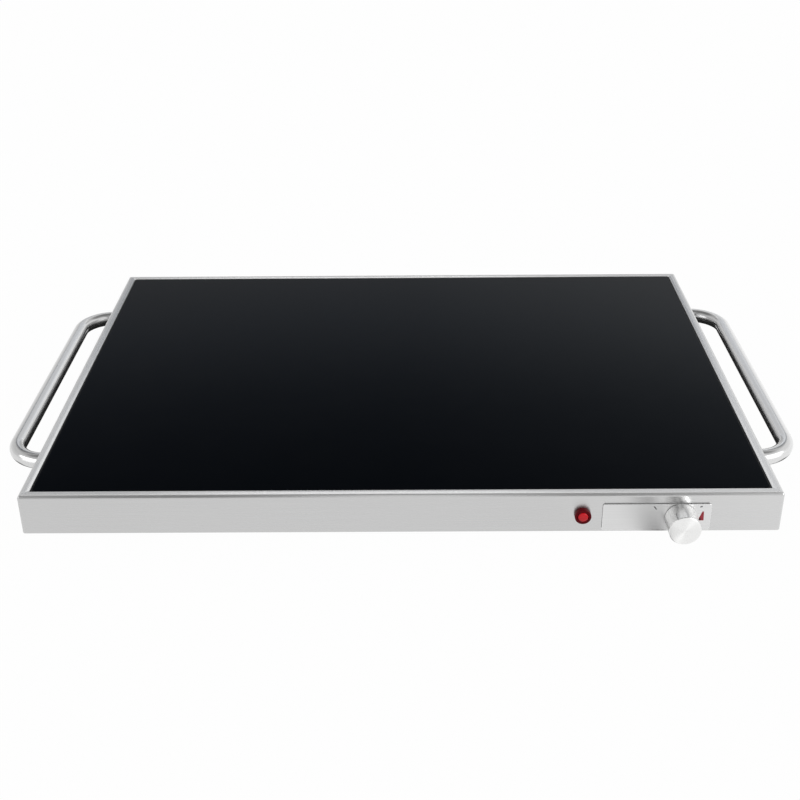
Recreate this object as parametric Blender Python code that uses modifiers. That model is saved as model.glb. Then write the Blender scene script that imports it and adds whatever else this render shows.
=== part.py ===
"""Electric food warmer tray: a flat glass hot plate in a folded steel frame.

Units are metres. X runs to the right, Y to the back and Z up, and the feet stand on Z = 0.
Pieces hang on empties: the tray's centre at the height of the frame's bottom edge, the front
face, the back face and the axis of the thermostat knob. Heights below are above the bottom edge.
"""

from math import cos, pi, radians, sin

import bmesh
import bpy
from mathutils import Vector

# Clearances and counts that the whole model shares
SEAT_GAP = 0.0003
CUT_OVERRUN = 0.002
WELD = 0.00001
FINE_STEPS = 32
ROUND_STEPS = 24
SMALL_STEPS = 12
BEND_STEPS = 4
CORNER_STEPS = 5
WIRE_STEPS = 18
SHARP_ANGLE = radians(35)
QUARTER_TURN = pi / 2

# Folded steel frame
BODY_WIDTH = 0.600
BODY_DEPTH = 0.450
BODY_HEIGHT = 0.035
SHEET = 0.0008
RIM_WIDTH = 0.008
RIM_BEND = 0.003
RIM_INNER_BEND = 0.001
BOTTOM_BEND = 0.0012
BOTTOM_FLANGE = 0.014
LEDGE_WIDTH = 0.012
LEDGE_BEND = 0.0005

# Glass and its gasket
GLASS_THICKNESS = 0.004
GLASS_RECESS = 0.0005
GLASS_CORNER = 0.004
GLASS_EDGE = 0.0005
SEAL_THICKNESS = 0.001
SEAL_LIP = 0.0005
SEAL_PAD_WIDTH = 0.009

# Heating stack and the tray that holds it up against the glass
SPREADER_THICKNESS = 0.001
ELEMENT_THICKNESS = 0.0015
INSULATION_THICKNESS = 0.006
STACK_CLEARANCE = 0.0005
STACK_CORNER = 0.003
SHIELD_SHEET = 0.0008
SHIELD_BEND = 0.001
SHIELD_FLANGE = 0.010
SHIELD_TO_LEDGE = 0.001
SHIELD_SCREW_RADIUS = 0.0015
SHIELD_SCREW_HEAD_RADIUS = 0.0028
SHIELD_SCREW_HEAD_HEIGHT = 0.0018
SHIELD_SCREW_WIDTH_SHARE = 0.30

# Base plate, its screws and its air slots
BASE_THICKNESS = 0.001
BASE_INSET = 0.006
BASE_CORNER = 0.004
BASE_SCREW_RADIUS = 0.00175
BASE_SCREW_HEAD_RADIUS = 0.003
BASE_SCREW_HEAD_HEIGHT = 0.002
BASE_SCREW_POINT = 0.004
BASE_SCREW_SIDE_SHARE = 0.42
SLOT_LENGTH = 0.040
SLOT_WIDTH = 0.004
SLOT_PITCH = 0.012
SLOT_COUNT = 6
SLOT_FIELD_SHARE = 0.22

# Feet
FOOT_STANDOFF = 0.010
FOOT_INSET = 0.045
FOOT_RADIUS = 0.011
FOOT_TAPER = 0.0015
FOOT_RECESS_RADIUS = 0.0045
FOOT_RECESS_DEPTH = 0.0045
FOOT_EDGE = 0.001
FOOT_SCREW_RADIUS = 0.002
FOOT_SCREW_HEAD_RADIUS = 0.0038
FOOT_SCREW_HEAD_HEIGHT = 0.0022
FOOT_SCREW_POINT = 0.003

# Side handles
HANDLE_RADIUS = 0.007
HANDLE_BEND = 0.030
HANDLE_REACH = 0.031
HANDLE_LEG_SPREAD = 0.2925
HANDLE_BEHIND_MIDDLE = 0.004
HANDLE_ABOVE_MIDDLE = 0.0005
HANDLE_BEND_STEPS = 9
HANDLE_SIDE_ROWS = 5
HANDLE_SCREW_RADIUS = 0.003
HANDLE_SCREW_GRIP = 0.007
HANDLE_SCREW_HEAD_RADIUS = 0.005
HANDLE_SCREW_HEAD_HEIGHT = 0.004

# Control plate on the front face
PLATE_WIDTH = 0.085
PLATE_HEIGHT = 0.0241
PLATE_ABOVE_BEND = 0.0008
PLATE_THICKNESS = 0.001
PLATE_CORNER = 0.002
PLATE_EDGE = 0.0003

# Thermostat knob and its spindle
KNOB_FROM_SIDE = 0.080
KNOB_TO_PLATE_END = 0.0238
KNOB_RADIUS = 0.0125
KNOB_LENGTH = 0.0192
KNOB_EDGE = 0.0007
KNOB_LIFT = 0.0005
KNOB_WALL = 0.003
POINTER_WIDTH = 0.0008
POINTER_DEPTH = 0.0004
POINTER_LENGTH = 0.009
POINTER_ANGLE = radians(32)
SPINDLE_RADIUS = 0.003
SPINDLE_FLAT_DEPTH = 0.001
SPINDLE_INNER_LENGTH = 0.008
SPINDLE_GRIP = 0.008
GRUB_SCREW_RADIUS = 0.0015
GRUB_SCREW_SINK = 0.0006
GRUB_SOCKET_RADIUS = 0.0008
GRUB_SOCKET_DEPTH = 0.0015

# Thermostat behind the front face
BUSH_RADIUS = 0.005
BUSH_END = 0.0006
BUSH_NUT_RADIUS = 0.0081
BUSH_NUT_HEIGHT = 0.0025
THERMOSTAT_WIDTH = 0.036
THERMOSTAT_DEPTH = 0.024
THERMOSTAT_EDGE = 0.001
THERMOSTAT_ROOM = 0.0008
TAB_THICKNESS = 0.0008
TAB_WIDTH = 0.0048
TAB_LENGTH = 0.006
TAB_PITCH = 0.010
TAB_HEIGHT_SHARE = 0.45

# Sensing bulb, its capillary and the overheat cut-out under the shield
BULB_RADIUS = 0.0025
BULB_LENGTH = 0.070
BULB_WIDTH_SHARE = 0.14
BULB_DEPTH_SHARE = -0.27
BULB_CLIP_SHEET = 0.0006
BULB_CLIP_WIDTH = 0.010
BULB_CLIP_FOOT = 0.006
CAPILLARY_RADIUS = 0.0009
CAPILLARY_SIDE = 0.012
CUTOUT_RADIUS = 0.008
CUTOUT_HEIGHT = 0.006
CUTOUT_FLANGE_RADIUS = 0.0105
CUTOUT_FLANGE_HEIGHT = 0.001
CUTOUT_WIDTH_SHARE = 0.20
CUTOUT_DEPTH_SHARE = -0.045

# Pilot lamp
LAMP_TO_PLATE = 0.0155
LAMP_ABOVE_KNOB = 0.002
LAMP_BEZEL_RADIUS = 0.0065
LAMP_BEZEL_HEIGHT = 0.004
LAMP_BEZEL_EDGE = 0.0006
LAMP_BARREL_RADIUS = 0.005
LAMP_BARREL_LENGTH = 0.009
LAMP_LENS_RADIUS = 0.004
LAMP_LENS_STEM_RADIUS = 0.0033
LAMP_LENS_HEIGHT = 0.001
LAMP_LENS_STEM_LENGTH = 0.007
LAMP_NUT_RADIUS = 0.008
LAMP_NUT_HEIGHT = 0.0025
LAMP_HOLDER_RADIUS = 0.0046
LAMP_HOLDER_LENGTH = 0.0075
LAMP_TAB_PITCH = 0.004
LAMP_TAB_DROP = 0.0033

# Cord gland in the back face
GLAND_FROM_SIDE = 0.100
GLAND_HEIGHT_SHARE = 0.38
GLAND_BORE_RADIUS = 0.004
GLAND_BARREL_RADIUS = 0.006
GLAND_BARREL_LENGTH = 0.010
GLAND_FLANGE_RADIUS = 0.009
GLAND_FLANGE_HEIGHT = 0.003
GLAND_CAP_RADIUS = 0.0075
GLAND_CAP_HEIGHT = 0.007
GLAND_EDGE = 0.001
GLAND_NUT_RADIUS = 0.0095
GLAND_NUT_HEIGHT = 0.004

# Terminal block and earth stud on the base plate
BLOCK_BEHIND_WALL = 0.055
BLOCK_WIDTH = 0.042
BLOCK_DEPTH = 0.018
BLOCK_EDGE = 0.0008
BLOCK_HEIGHT_SHARE = 0.66
BLOCK_WAYS = 4
BLOCK_WELL_RADIUS = 0.002
BLOCK_WELL_DEPTH = 0.004
EARTH_TO_BLOCK = 0.050
EARTH_STUD_RADIUS = 0.002
EARTH_STUD_LENGTH = 0.010
EARTH_COLLAR_RADIUS = 0.0045
EARTH_COLLAR_HEIGHT = 0.0012

# Wiring
WIRE_RADIUS = 0.0011
WIRE_LEAD = 0.006
LEAD_HOLE_WIDTH_SHARE = 0.10
LEAD_HOLE_DEPTH_SHARE = 0.13
LEAD_PITCH = 0.0045
LEAD_SIDE_GAP = 0.0006
GROMMET_WALL = 0.001
GROMMET_FLANGE = 0.0025
GROMMET_FLANGE_HEIGHT = 0.0012
WIRE_SLACK = 0.035
WIRE_DIP = 0.006

# Heights of the glass, the ledge and the heating stack
GLASS_TOP = BODY_HEIGHT - GLASS_RECESS
GLASS_BOTTOM = GLASS_TOP - GLASS_THICKNESS
LEDGE_TOP = GLASS_BOTTOM - SEAT_GAP - SEAL_THICKNESS - SEAT_GAP
LEDGE_BOTTOM = LEDGE_TOP - SHEET
SPREADER_TOP = GLASS_BOTTOM - SEAT_GAP
ELEMENT_TOP = SPREADER_TOP - SPREADER_THICKNESS - SEAT_GAP
INSULATION_TOP = ELEMENT_TOP - ELEMENT_THICKNESS - SEAT_GAP
SHIELD_FLOOR = INSULATION_TOP - INSULATION_THICKNESS - SEAT_GAP
SHIELD_BOTTOM = SHIELD_FLOOR - SHIELD_SHEET
SHIELD_RIM = LEDGE_BOTTOM - SEAT_GAP
BASE_TOP = -SEAT_GAP
BASE_BOTTOM = BASE_TOP - BASE_THICKNESS
ROOM_HEIGHT = SHIELD_BOTTOM - BASE_TOP

# Insets from the outer faces of the frame
LEDGE_END = RIM_WIDTH + LEDGE_WIDTH
GLASS_INSET = RIM_WIDTH + SEAT_GAP + SEAL_LIP + SEAT_GAP
SHIELD_WALL_INSET = LEDGE_END + SHIELD_TO_LEDGE
SHIELD_EDGE_INSET = SHIELD_WALL_INSET - SHIELD_FLANGE
SHIELD_SCREW_INSET = (SHIELD_EDGE_INSET + SHIELD_WALL_INSET - SHIELD_SHEET) / 2
STACK_INSET = SHIELD_WALL_INSET + STACK_CLEARANCE
BASE_SCREW_INSET = (BASE_INSET + BOTTOM_FLANGE) / 2

# Distances out from the front face
PLATE_BACK = SEAT_GAP
PLATE_FRONT = PLATE_BACK + PLATE_THICKNESS
NUT_BACK = PLATE_FRONT + SEAT_GAP
NUT_FRONT = NUT_BACK + BUSH_NUT_HEIGHT
BUSH_FRONT = NUT_FRONT + BUSH_END
KNOB_BACK = PLATE_FRONT + KNOB_LIFT
KNOB_FRONT = KNOB_BACK + KNOB_LENGTH
KNOB_RECESS_END = BUSH_FRONT + KNOB_LIFT
SPINDLE_FRONT = KNOB_RECESS_END + SPINDLE_GRIP
THERMOSTAT_FRONT = -SHEET - SEAT_GAP
THERMOSTAT_BACK = THERMOSTAT_FRONT - THERMOSTAT_DEPTH
SPINDLE_BACK = THERMOSTAT_FRONT - SPINDLE_INNER_LENGTH

# Places on the front face, across and up
KNOB_X = BODY_WIDTH / 2 - KNOB_FROM_SIDE
PLATE_X = KNOB_X + KNOB_TO_PLATE_END - PLATE_WIDTH / 2
PLATE_MIDDLE = BOTTOM_BEND + PLATE_ABOVE_BEND + PLATE_HEIGHT / 2
KNOB_HEIGHT = PLATE_MIDDLE
LAMP_X = PLATE_X - PLATE_WIDTH / 2 - LAMP_TO_PLATE
LAMP_HEIGHT = KNOB_HEIGHT + LAMP_ABOVE_KNOB
THERMOSTAT_BOTTOM = SHEET + THERMOSTAT_ROOM
THERMOSTAT_TOP = SHIELD_BOTTOM - THERMOSTAT_ROOM
TAB_HEIGHT = THERMOSTAT_BOTTOM + (THERMOSTAT_TOP - THERMOSTAT_BOTTOM) * TAB_HEIGHT_SHARE

# Places of the handles' legs on the sides
HANDLE_LEGS_Y = {
    "front": HANDLE_BEHIND_MIDDLE - HANDLE_LEG_SPREAD / 2,
    "back": HANDLE_BEHIND_MIDDLE + HANDLE_LEG_SPREAD / 2,
}
HANDLE_HEIGHT = BODY_HEIGHT / 2 + HANDLE_ABOVE_MIDDLE

# Places behind the back face and inside
GLAND_X = BODY_WIDTH / 2 - GLAND_FROM_SIDE
GLAND_HEIGHT = BODY_HEIGHT * GLAND_HEIGHT_SHARE
GLAND_REACH = SEAT_GAP + GLAND_FLANGE_HEIGHT + GLAND_CAP_HEIGHT
BLOCK_Y = BODY_DEPTH / 2 - BLOCK_BEHIND_WALL
BLOCK_HEIGHT = ROOM_HEIGHT * BLOCK_HEIGHT_SHARE
BLOCK_PITCH = BLOCK_WIDTH / BLOCK_WAYS
EARTH_X = GLAND_X + EARTH_TO_BLOCK
BULB_X = BODY_WIDTH * BULB_WIDTH_SHARE
BULB_Y = BODY_DEPTH * BULB_DEPTH_SHARE
BULB_HEIGHT = SHIELD_BOTTOM - SEAT_GAP - BULB_RADIUS
CUTOUT_X = BODY_WIDTH * CUTOUT_WIDTH_SHARE
CUTOUT_Y = BODY_DEPTH * CUTOUT_DEPTH_SHARE
CUTOUT_TOP = SHIELD_BOTTOM - SEAT_GAP
CUTOUT_TAB_HEIGHT = CUTOUT_TOP - CUTOUT_HEIGHT / 2 - CUTOUT_FLANGE_HEIGHT
LEAD_HOLE_X = BODY_WIDTH * LEAD_HOLE_WIDTH_SHARE
LEAD_HOLE_Y = BODY_DEPTH * LEAD_HOLE_DEPTH_SHARE
GROMMET_BORE_RADIUS = LEAD_PITCH / 2 + WIRE_RADIUS + LEAD_SIDE_GAP
GROMMET_WAIST_RADIUS = GROMMET_BORE_RADIUS + GROMMET_WALL
GROMMET_FLANGE_RADIUS = GROMMET_WAIST_RADIUS + GROMMET_FLANGE

# The knob reaches out in front and the gland behind, and the tray is centred between them
CENTRE_Y = (KNOB_FRONT - GLAND_REACH) / 2

# Finish: colour, roughness and metallic value
FINISHES = {
    "brushed_steel": ((0.62, 0.62, 0.61), 0.34, 1.0),
    "satin_tube": ((0.68, 0.68, 0.67), 0.28, 1.0),
    "spun_aluminium": ((0.86, 0.86, 0.85), 0.30, 1.0),
    "galvanised": ((0.52, 0.53, 0.54), 0.45, 1.0),
    "zinc": ((0.66, 0.66, 0.64), 0.35, 1.0),
    "brass": ((0.72, 0.55, 0.25), 0.35, 1.0),
    "copper": ((0.72, 0.38, 0.24), 0.35, 1.0),
    "black_glass": ((0.012, 0.013, 0.015), 0.08, 0.0),
    "black_rubber": ((0.020, 0.020, 0.021), 0.75, 0.0),
    "aluminium_sheet": ((0.77, 0.77, 0.78), 0.40, 1.0),
    "mica": ((0.42, 0.36, 0.26), 0.55, 0.0),
    "mineral_wool": ((0.80, 0.79, 0.74), 0.95, 0.0),
    "dark_phenolic": ((0.060, 0.040, 0.030), 0.50, 0.0),
    "ceramic": ((0.82, 0.80, 0.75), 0.45, 0.0),
    "black_plastic": ((0.025, 0.025, 0.027), 0.50, 0.0),
    "dark_red_plastic": ((0.110, 0.010, 0.012), 0.25, 0.0),
    "red_lens": ((0.62, 0.020, 0.030), 0.15, 0.0),
    "brown_wire": ((0.20, 0.09, 0.04), 0.55, 0.0),
    "blue_wire": ((0.04, 0.12, 0.42), 0.55, 0.0),
    "green_wire": ((0.10, 0.36, 0.10), 0.55, 0.0),
}


def new_collection(name):
    collection = bpy.data.collections.new(name)
    bpy.context.scene.collection.children.link(collection)
    return collection


def clear_scene():
    for obj in list(bpy.data.objects):
        bpy.data.objects.remove(obj, do_unlink=True)


clear_scene()
TRAY = new_collection("food_warmer_tray")
CUTTERS = new_collection("cutters")


def empty(name, parent, location, rotation=(0, 0, 0)):
    """A guide that carries pieces."""
    guide = bpy.data.objects.new(name, None)
    TRAY.objects.link(guide)
    guide.parent = parent
    guide.location = location
    guide.rotation_euler = rotation
    return guide


def place(obj, parent, location=(0, 0, 0), rotation=(0, 0, 0)):
    obj.parent = parent
    obj.location = location
    obj.rotation_euler = rotation
    return obj


def paint(obj, finish):
    """Give a piece a material of its own."""
    colour, roughness, metallic = FINISHES[finish]
    surface = bpy.data.materials.new(obj.name + "_finish")
    surface.use_nodes = True
    shader = surface.node_tree.nodes["Principled BSDF"]
    shader.inputs["Base Color"].default_value = (*colour, 1.0)
    shader.inputs["Roughness"].default_value = roughness
    shader.inputs["Metallic"].default_value = metallic
    obj.data.materials.clear()
    obj.data.materials.append(surface)


def link_mesh(name, shape, finish):
    """Make an object from a finished bmesh: a piece, or a cutter where no finish is given."""
    mesh = bpy.data.meshes.new(name)
    shape.to_mesh(mesh)
    shape.free()
    obj = bpy.data.objects.new(name, mesh)
    if finish is None:
        CUTTERS.objects.link(obj)
        obj.hide_render = True
        obj.display_type = "WIRE"
    else:
        TRAY.objects.link(obj)
        paint(obj, finish)
    return obj


def smooth(obj):
    """Shade a round piece smooth, with its sharp edges kept."""
    obj.data.shade_smooth()
    obj.data.set_sharp_from_angle(angle=SHARP_ANGLE)
    return obj


def bevel(obj, width, segments=2):
    edge = obj.modifiers.new("rounded_edges", "BEVEL")
    edge.width = width
    edge.segments = segments
    edge.limit_method = "ANGLE"
    edge.angle_limit = SHARP_ANGLE
    return obj


def box(name, size, finish=None, edge=0):
    """A block centred on its own origin."""
    shape = bmesh.new()
    bmesh.ops.create_cube(shape, size=1)
    bmesh.ops.scale(shape, vec=size, verts=shape.verts)
    obj = link_mesh(name, shape, finish)
    if edge:
        bevel(obj, edge)
    return obj


def rod(name, radius, start, end, steps=SMALL_STEPS, finish=None):
    """A cylinder along its own Z, from start to end."""
    shape = bmesh.new()
    bmesh.ops.create_cone(
        shape, cap_ends=True, segments=steps, radius1=radius, radius2=radius, depth=end - start
    )
    bmesh.ops.translate(shape, vec=(0, 0, (start + end) / 2), verts=shape.verts)
    return smooth(link_mesh(name, shape, finish))


def turned(name, profile, finish, steps=ROUND_STEPS, ring=False):
    """Turn a profile of (radius, height) points about Z. A ring's profile closes on itself."""
    shape = bmesh.new()
    points = [shape.verts.new((radius, 0, height)) for radius, height in profile]
    for here, after in zip(points, points[1:]):
        shape.edges.new((here, after))
    if ring:
        shape.edges.new((points[-1], points[0]))
    obj = link_mesh(name, shape, finish)
    turn = obj.modifiers.new("turn", "SCREW")
    turn.axis = "Z"
    turn.steps = steps
    turn.render_steps = steps
    turn.use_merge_vertices = True
    turn.merge_threshold = WELD
    turn.use_smooth_shade = True
    return obj


def flat(name, outlines, thickness, finish):
    """A flat piece centred on its own origin: the first outline is its edge, the rest are holes."""
    curve = bpy.data.curves.new(name, "CURVE")
    curve.dimensions = "2D"
    curve.fill_mode = "BOTH"
    curve.extrude = thickness / 2
    for outline in outlines:
        spline = curve.splines.new("POLY")
        spline.points.add(len(outline) - 1)
        for point, (x, y) in zip(spline.points, outline):
            point.co = (x, y, 0, 1)
        spline.use_cyclic_u = True
    obj = bpy.data.objects.new(name, curve)
    TRAY.objects.link(obj)
    if finish is not None:
        paint(obj, finish)
    return obj


def tube(name, points, radius, finish, resolution):
    """A round tube or wire through the points, with filled ends."""
    curve = bpy.data.curves.new(name, "CURVE")
    curve.dimensions = "3D"
    curve.bevel_depth = radius
    curve.bevel_resolution = resolution
    curve.use_fill_caps = True
    spline = curve.splines.new("POLY")
    spline.points.add(len(points) - 1)
    for point, place_of_point in zip(spline.points, points):
        point.co = (*place_of_point, 1)
    obj = bpy.data.objects.new(name, curve)
    TRAY.objects.link(obj)
    paint(obj, finish)
    return obj


def as_mesh(curve_obj, finish=None):
    """Turn a curve into a mesh with welded caps, so that it can be cut or edged."""
    bpy.context.view_layer.update()
    name = curve_obj.name
    evaluated = curve_obj.evaluated_get(bpy.context.evaluated_depsgraph_get())
    mesh = bpy.data.meshes.new_from_object(evaluated)
    shape = bmesh.new()
    shape.from_mesh(mesh)
    bmesh.ops.remove_doubles(shape, verts=shape.verts, dist=WELD)
    shape.to_mesh(mesh)
    shape.free()
    home = curve_obj.matrix_world.copy()
    bpy.data.objects.remove(curve_obj, do_unlink=True)
    mesh.name = name
    obj = bpy.data.objects.new(name, mesh)
    obj.matrix_world = home
    if finish is None:
        CUTTERS.objects.link(obj)
        obj.hide_render = True
        obj.display_type = "WIRE"
    else:
        TRAY.objects.link(obj)
        paint(obj, finish)
    return obj


def combine(obj, other, operation):
    """Cut the other solid out of a piece, or join it on."""
    change = obj.modifiers.new(other.name, "BOOLEAN")
    change.operation = operation
    change.object = other
    change.solver = "EXACT"
    return obj


def cut(obj, cutter):
    return combine(obj, cutter, "DIFFERENCE")


def join(obj, extra):
    return combine(obj, extra, "UNION")


def arc(centre, radius, start, end, steps):
    """Points on an arc in a plane, from one angle to another, in quarter turns."""
    points = []
    for step in range(steps + 1):
        angle = (start + (end - start) * step / steps) * QUARTER_TURN
        points.append((centre[0] + radius * cos(angle), centre[1] + radius * sin(angle)))
    return points


def circle(radius, centre=(0, 0), steps=SMALL_STEPS):
    return arc(centre, radius, 0, 4, steps)[:-1]


def rounded_rectangle(width, height, radius, centre=(0, 0), steps=CORNER_STEPS):
    """An outline with four round corners."""
    reach_x = width / 2 - radius
    reach_y = height / 2 - radius
    points = []
    for turn, (side_x, side_y) in enumerate(((1, 1), (-1, 1), (-1, -1), (1, -1))):
        corner = (centre[0] + side_x * reach_x, centre[1] + side_y * reach_y)
        points += arc(corner, radius, turn, turn + 1, steps)
    return points


def hexagon_ring(corner_radius, hole_radius):
    """The outlines of a nut."""
    return [circle(corner_radius, steps=6), circle(hole_radius, steps=ROUND_STEPS)]


def around_tray(name, section, finish, closed=False, floor=False):
    """Carry a section of (inset, height) points round the tray's four mitred corners.

    Up its outer side, inwards over its top and down its inner side is the section's way round.
    A closed section is a solid bar. An open one is a skin, whose last edge a floor can close.
    """
    shape = bmesh.new()
    sides = ((-1, -1), (1, -1), (1, 1), (-1, 1))
    rows = []
    for inset, height in section:
        half_x = BODY_WIDTH / 2 - inset
        half_y = BODY_DEPTH / 2 - inset
        rows.append([shape.verts.new((x * half_x, y * half_y, height)) for x, y in sides])
    following = rows[1:] + rows[:1] if closed else rows[1:]
    for row, after in zip(rows, following):
        for corner in range(len(sides)):
            beside = (corner + 1) % len(sides)
            shape.faces.new((row[corner], row[beside], after[beside], after[corner]))
    if floor:
        shape.faces.new(rows[-1])
    return link_mesh(name, shape, finish)


def folded_sheet(name, section, thickness, finish, floor=False):
    """Sheet metal folded round the tray: its thickness lies behind the section."""
    obj = around_tray(name, section, finish, floor=floor)
    sheet = obj.modifiers.new("sheet_thickness", "SOLIDIFY")
    sheet.thickness = thickness
    sheet.offset = -1
    sheet.use_even_offset = True
    return obj


def bezier(start, start_pull, end_pull, end, steps):
    """Points on a smooth curve that leaves start towards start_pull and meets end from end_pull."""
    points = []
    for step in range(steps + 1):
        share = step / steps
        rest = 1 - share
        points.append(
            start * rest**3
            + start_pull * (3 * rest**2 * share)
            + end_pull * (3 * rest * share**2)
            + end * share**3
        )
    return points


def wire(name, start, start_way, end, end_way, finish, parent, slack=WIRE_SLACK, dip=0,
         end_lead=WIRE_LEAD, end_slack=WIRE_SLACK, radius=WIRE_RADIUS):
    """A wire with a straight lead at each end and one smooth bend between them."""
    start = Vector(start)
    end = Vector(end)
    start_way = Vector(start_way)
    end_way = Vector(end_way)
    drop = Vector((0, 0, dip))
    from_point = start + start_way * WIRE_LEAD
    to_point = end + end_way * end_lead
    middle = bezier(
        from_point, from_point + start_way * slack - drop, to_point + end_way * end_slack - drop,
        to_point, WIRE_STEPS,
    )
    obj = tube(name, [start] + middle + [end], radius, finish, 2)
    return place(obj, parent)


def screw_solid(name, radius, length, head_radius, head_height, finish, steps=SMALL_STEPS):
    """A pan-head screw: the seat of its head is at 0 and its shank runs up to its length."""
    edge = head_height / 3
    profile = [
        (0, length),
        (radius, length),
        (radius, 0),
        (head_radius, 0),
        (head_radius, -head_height + edge),
        (head_radius - edge, -head_height),
        (0, -head_height),
    ]
    return turned(name, profile, finish, steps)


def frame_section():
    """The frame's outer skin, from the bottom flange round to the ledge under the glass."""
    bottom = arc((BOTTOM_BEND, BOTTOM_BEND), BOTTOM_BEND, 3, 2, BEND_STEPS)
    rim_outer = arc((RIM_BEND, BODY_HEIGHT - RIM_BEND), RIM_BEND, 2, 1, BEND_STEPS)
    fold_centre = (RIM_WIDTH - RIM_INNER_BEND, BODY_HEIGHT - RIM_INNER_BEND)
    rim_inner = arc(fold_centre, RIM_INNER_BEND, 1, 0, BEND_STEPS)
    ledge_corner = (RIM_WIDTH + LEDGE_BEND, LEDGE_TOP + LEDGE_BEND)
    ledge_bend = arc(ledge_corner, LEDGE_BEND, 2, 3, BEND_STEPS // 2)
    flange_end = [(BOTTOM_FLANGE, 0)]
    return flange_end + bottom + rim_outer + rim_inner + ledge_bend + [(LEDGE_END, LEDGE_TOP)]


def make_frame(tray, front, back):
    frame = folded_sheet("top_frame", frame_section(), SHEET, "brushed_steel")
    place(frame, tray)
    inner = -SHEET - CUT_OVERRUN
    bush_hole = rod("bush_hole", BUSH_RADIUS + SEAT_GAP, inner, CUT_OVERRUN, ROUND_STEPS)
    cut(frame, place(bush_hole, front, (KNOB_X, KNOB_HEIGHT, 0)))
    lamp_hole = rod("lamp_hole", LAMP_BARREL_RADIUS + SEAT_GAP, inner, CUT_OVERRUN, ROUND_STEPS)
    cut(frame, place(lamp_hole, front, (LAMP_X, LAMP_HEIGHT, 0)))
    gland_hole = rod("gland_hole", GLAND_BARREL_RADIUS + SEAT_GAP, inner, CUT_OVERRUN, ROUND_STEPS)
    cut(frame, place(gland_hole, back, (-GLAND_X, GLAND_HEIGHT, 0)))
    for number, (side, end) in enumerate(handle_legs(), start=1):
        hole = rod(f"handle_hole_{number}", HANDLE_SCREW_RADIUS + SEAT_GAP, inner, CUT_OVERRUN)
        cut(frame, place(hole, tray, handle_leg_place(side, end), handle_leg_turn(side)))
    for number, (x, y) in enumerate(base_screw_places(), start=1):
        hole = rod(
            f"flange_hole_{number}", BASE_SCREW_RADIUS + SEAT_GAP, -CUT_OVERRUN, SHEET + CUT_OVERRUN
        )
        cut(frame, place(hole, tray, (x, y, 0)))
    for number, (x, y) in enumerate(shield_screw_places(), start=1):
        hole = rod(
            f"ledge_hole_{number}", SHIELD_SCREW_RADIUS + SEAT_GAP, LEDGE_BOTTOM - CUT_OVERRUN,
            LEDGE_TOP + CUT_OVERRUN,
        )
        cut(frame, place(hole, tray, (x, y, 0)))
    return frame


def make_glass(tray):
    """The glass lies in an L-shaped gasket on the frame's ledge."""
    width = BODY_WIDTH - 2 * GLASS_INSET
    depth = BODY_DEPTH - 2 * GLASS_INSET
    outline = rounded_rectangle(width, depth, GLASS_CORNER)
    glass = as_mesh(flat("glass_top", [outline], GLASS_THICKNESS, None), "black_glass")
    bevel(glass, GLASS_EDGE)
    place(glass, tray, (0, 0, (GLASS_TOP + GLASS_BOTTOM) / 2))
    lip_outside = RIM_WIDTH + SEAT_GAP
    pad_bottom = LEDGE_TOP + SEAT_GAP
    section = [
        (lip_outside + SEAL_PAD_WIDTH, pad_bottom),
        (lip_outside + LEDGE_BEND, pad_bottom),
        (lip_outside, pad_bottom + LEDGE_BEND),
        (lip_outside, GLASS_TOP - GLASS_EDGE),
        (lip_outside + SEAL_LIP, GLASS_TOP - GLASS_EDGE),
        (lip_outside + SEAL_LIP, pad_bottom + SEAL_THICKNESS),
        (lip_outside + SEAL_PAD_WIDTH, pad_bottom + SEAL_THICKNESS),
    ]
    place(around_tray("glass_seal", section, "black_rubber", closed=True), tray)


def make_heating_stack(tray):
    """Spreader, element and insulation, one under the other, below the glass."""
    width = BODY_WIDTH - 2 * STACK_INSET
    depth = BODY_DEPTH - 2 * STACK_INSET
    edge = rounded_rectangle(width, depth, STACK_CORNER)
    spreader = flat("heat_spreader", [edge], SPREADER_THICKNESS, "aluminium_sheet")
    place(spreader, tray, (0, 0, SPREADER_TOP - SPREADER_THICKNESS / 2))
    element = flat("heating_element", [edge], ELEMENT_THICKNESS, "mica")
    place(element, tray, (0, 0, ELEMENT_TOP - ELEMENT_THICKNESS / 2))
    lead_hole = circle(GROMMET_FLANGE_RADIUS + SEAT_GAP, (LEAD_HOLE_X, LEAD_HOLE_Y), ROUND_STEPS)
    blanket = flat("insulation_blanket", [edge, lead_hole], INSULATION_THICKNESS, "mineral_wool")
    place(blanket, tray, (0, 0, INSULATION_TOP - INSULATION_THICKNESS / 2))


def shield_screw_places():
    """Screws near the corners of the shield's front and back flanges."""
    x = BODY_WIDTH * SHIELD_SCREW_WIDTH_SHARE
    y = BODY_DEPTH / 2 - SHIELD_SCREW_INSET
    return [(side_x * x, side_y * y) for side_y in (-1, 1) for side_x in (-1, 1)]


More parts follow.
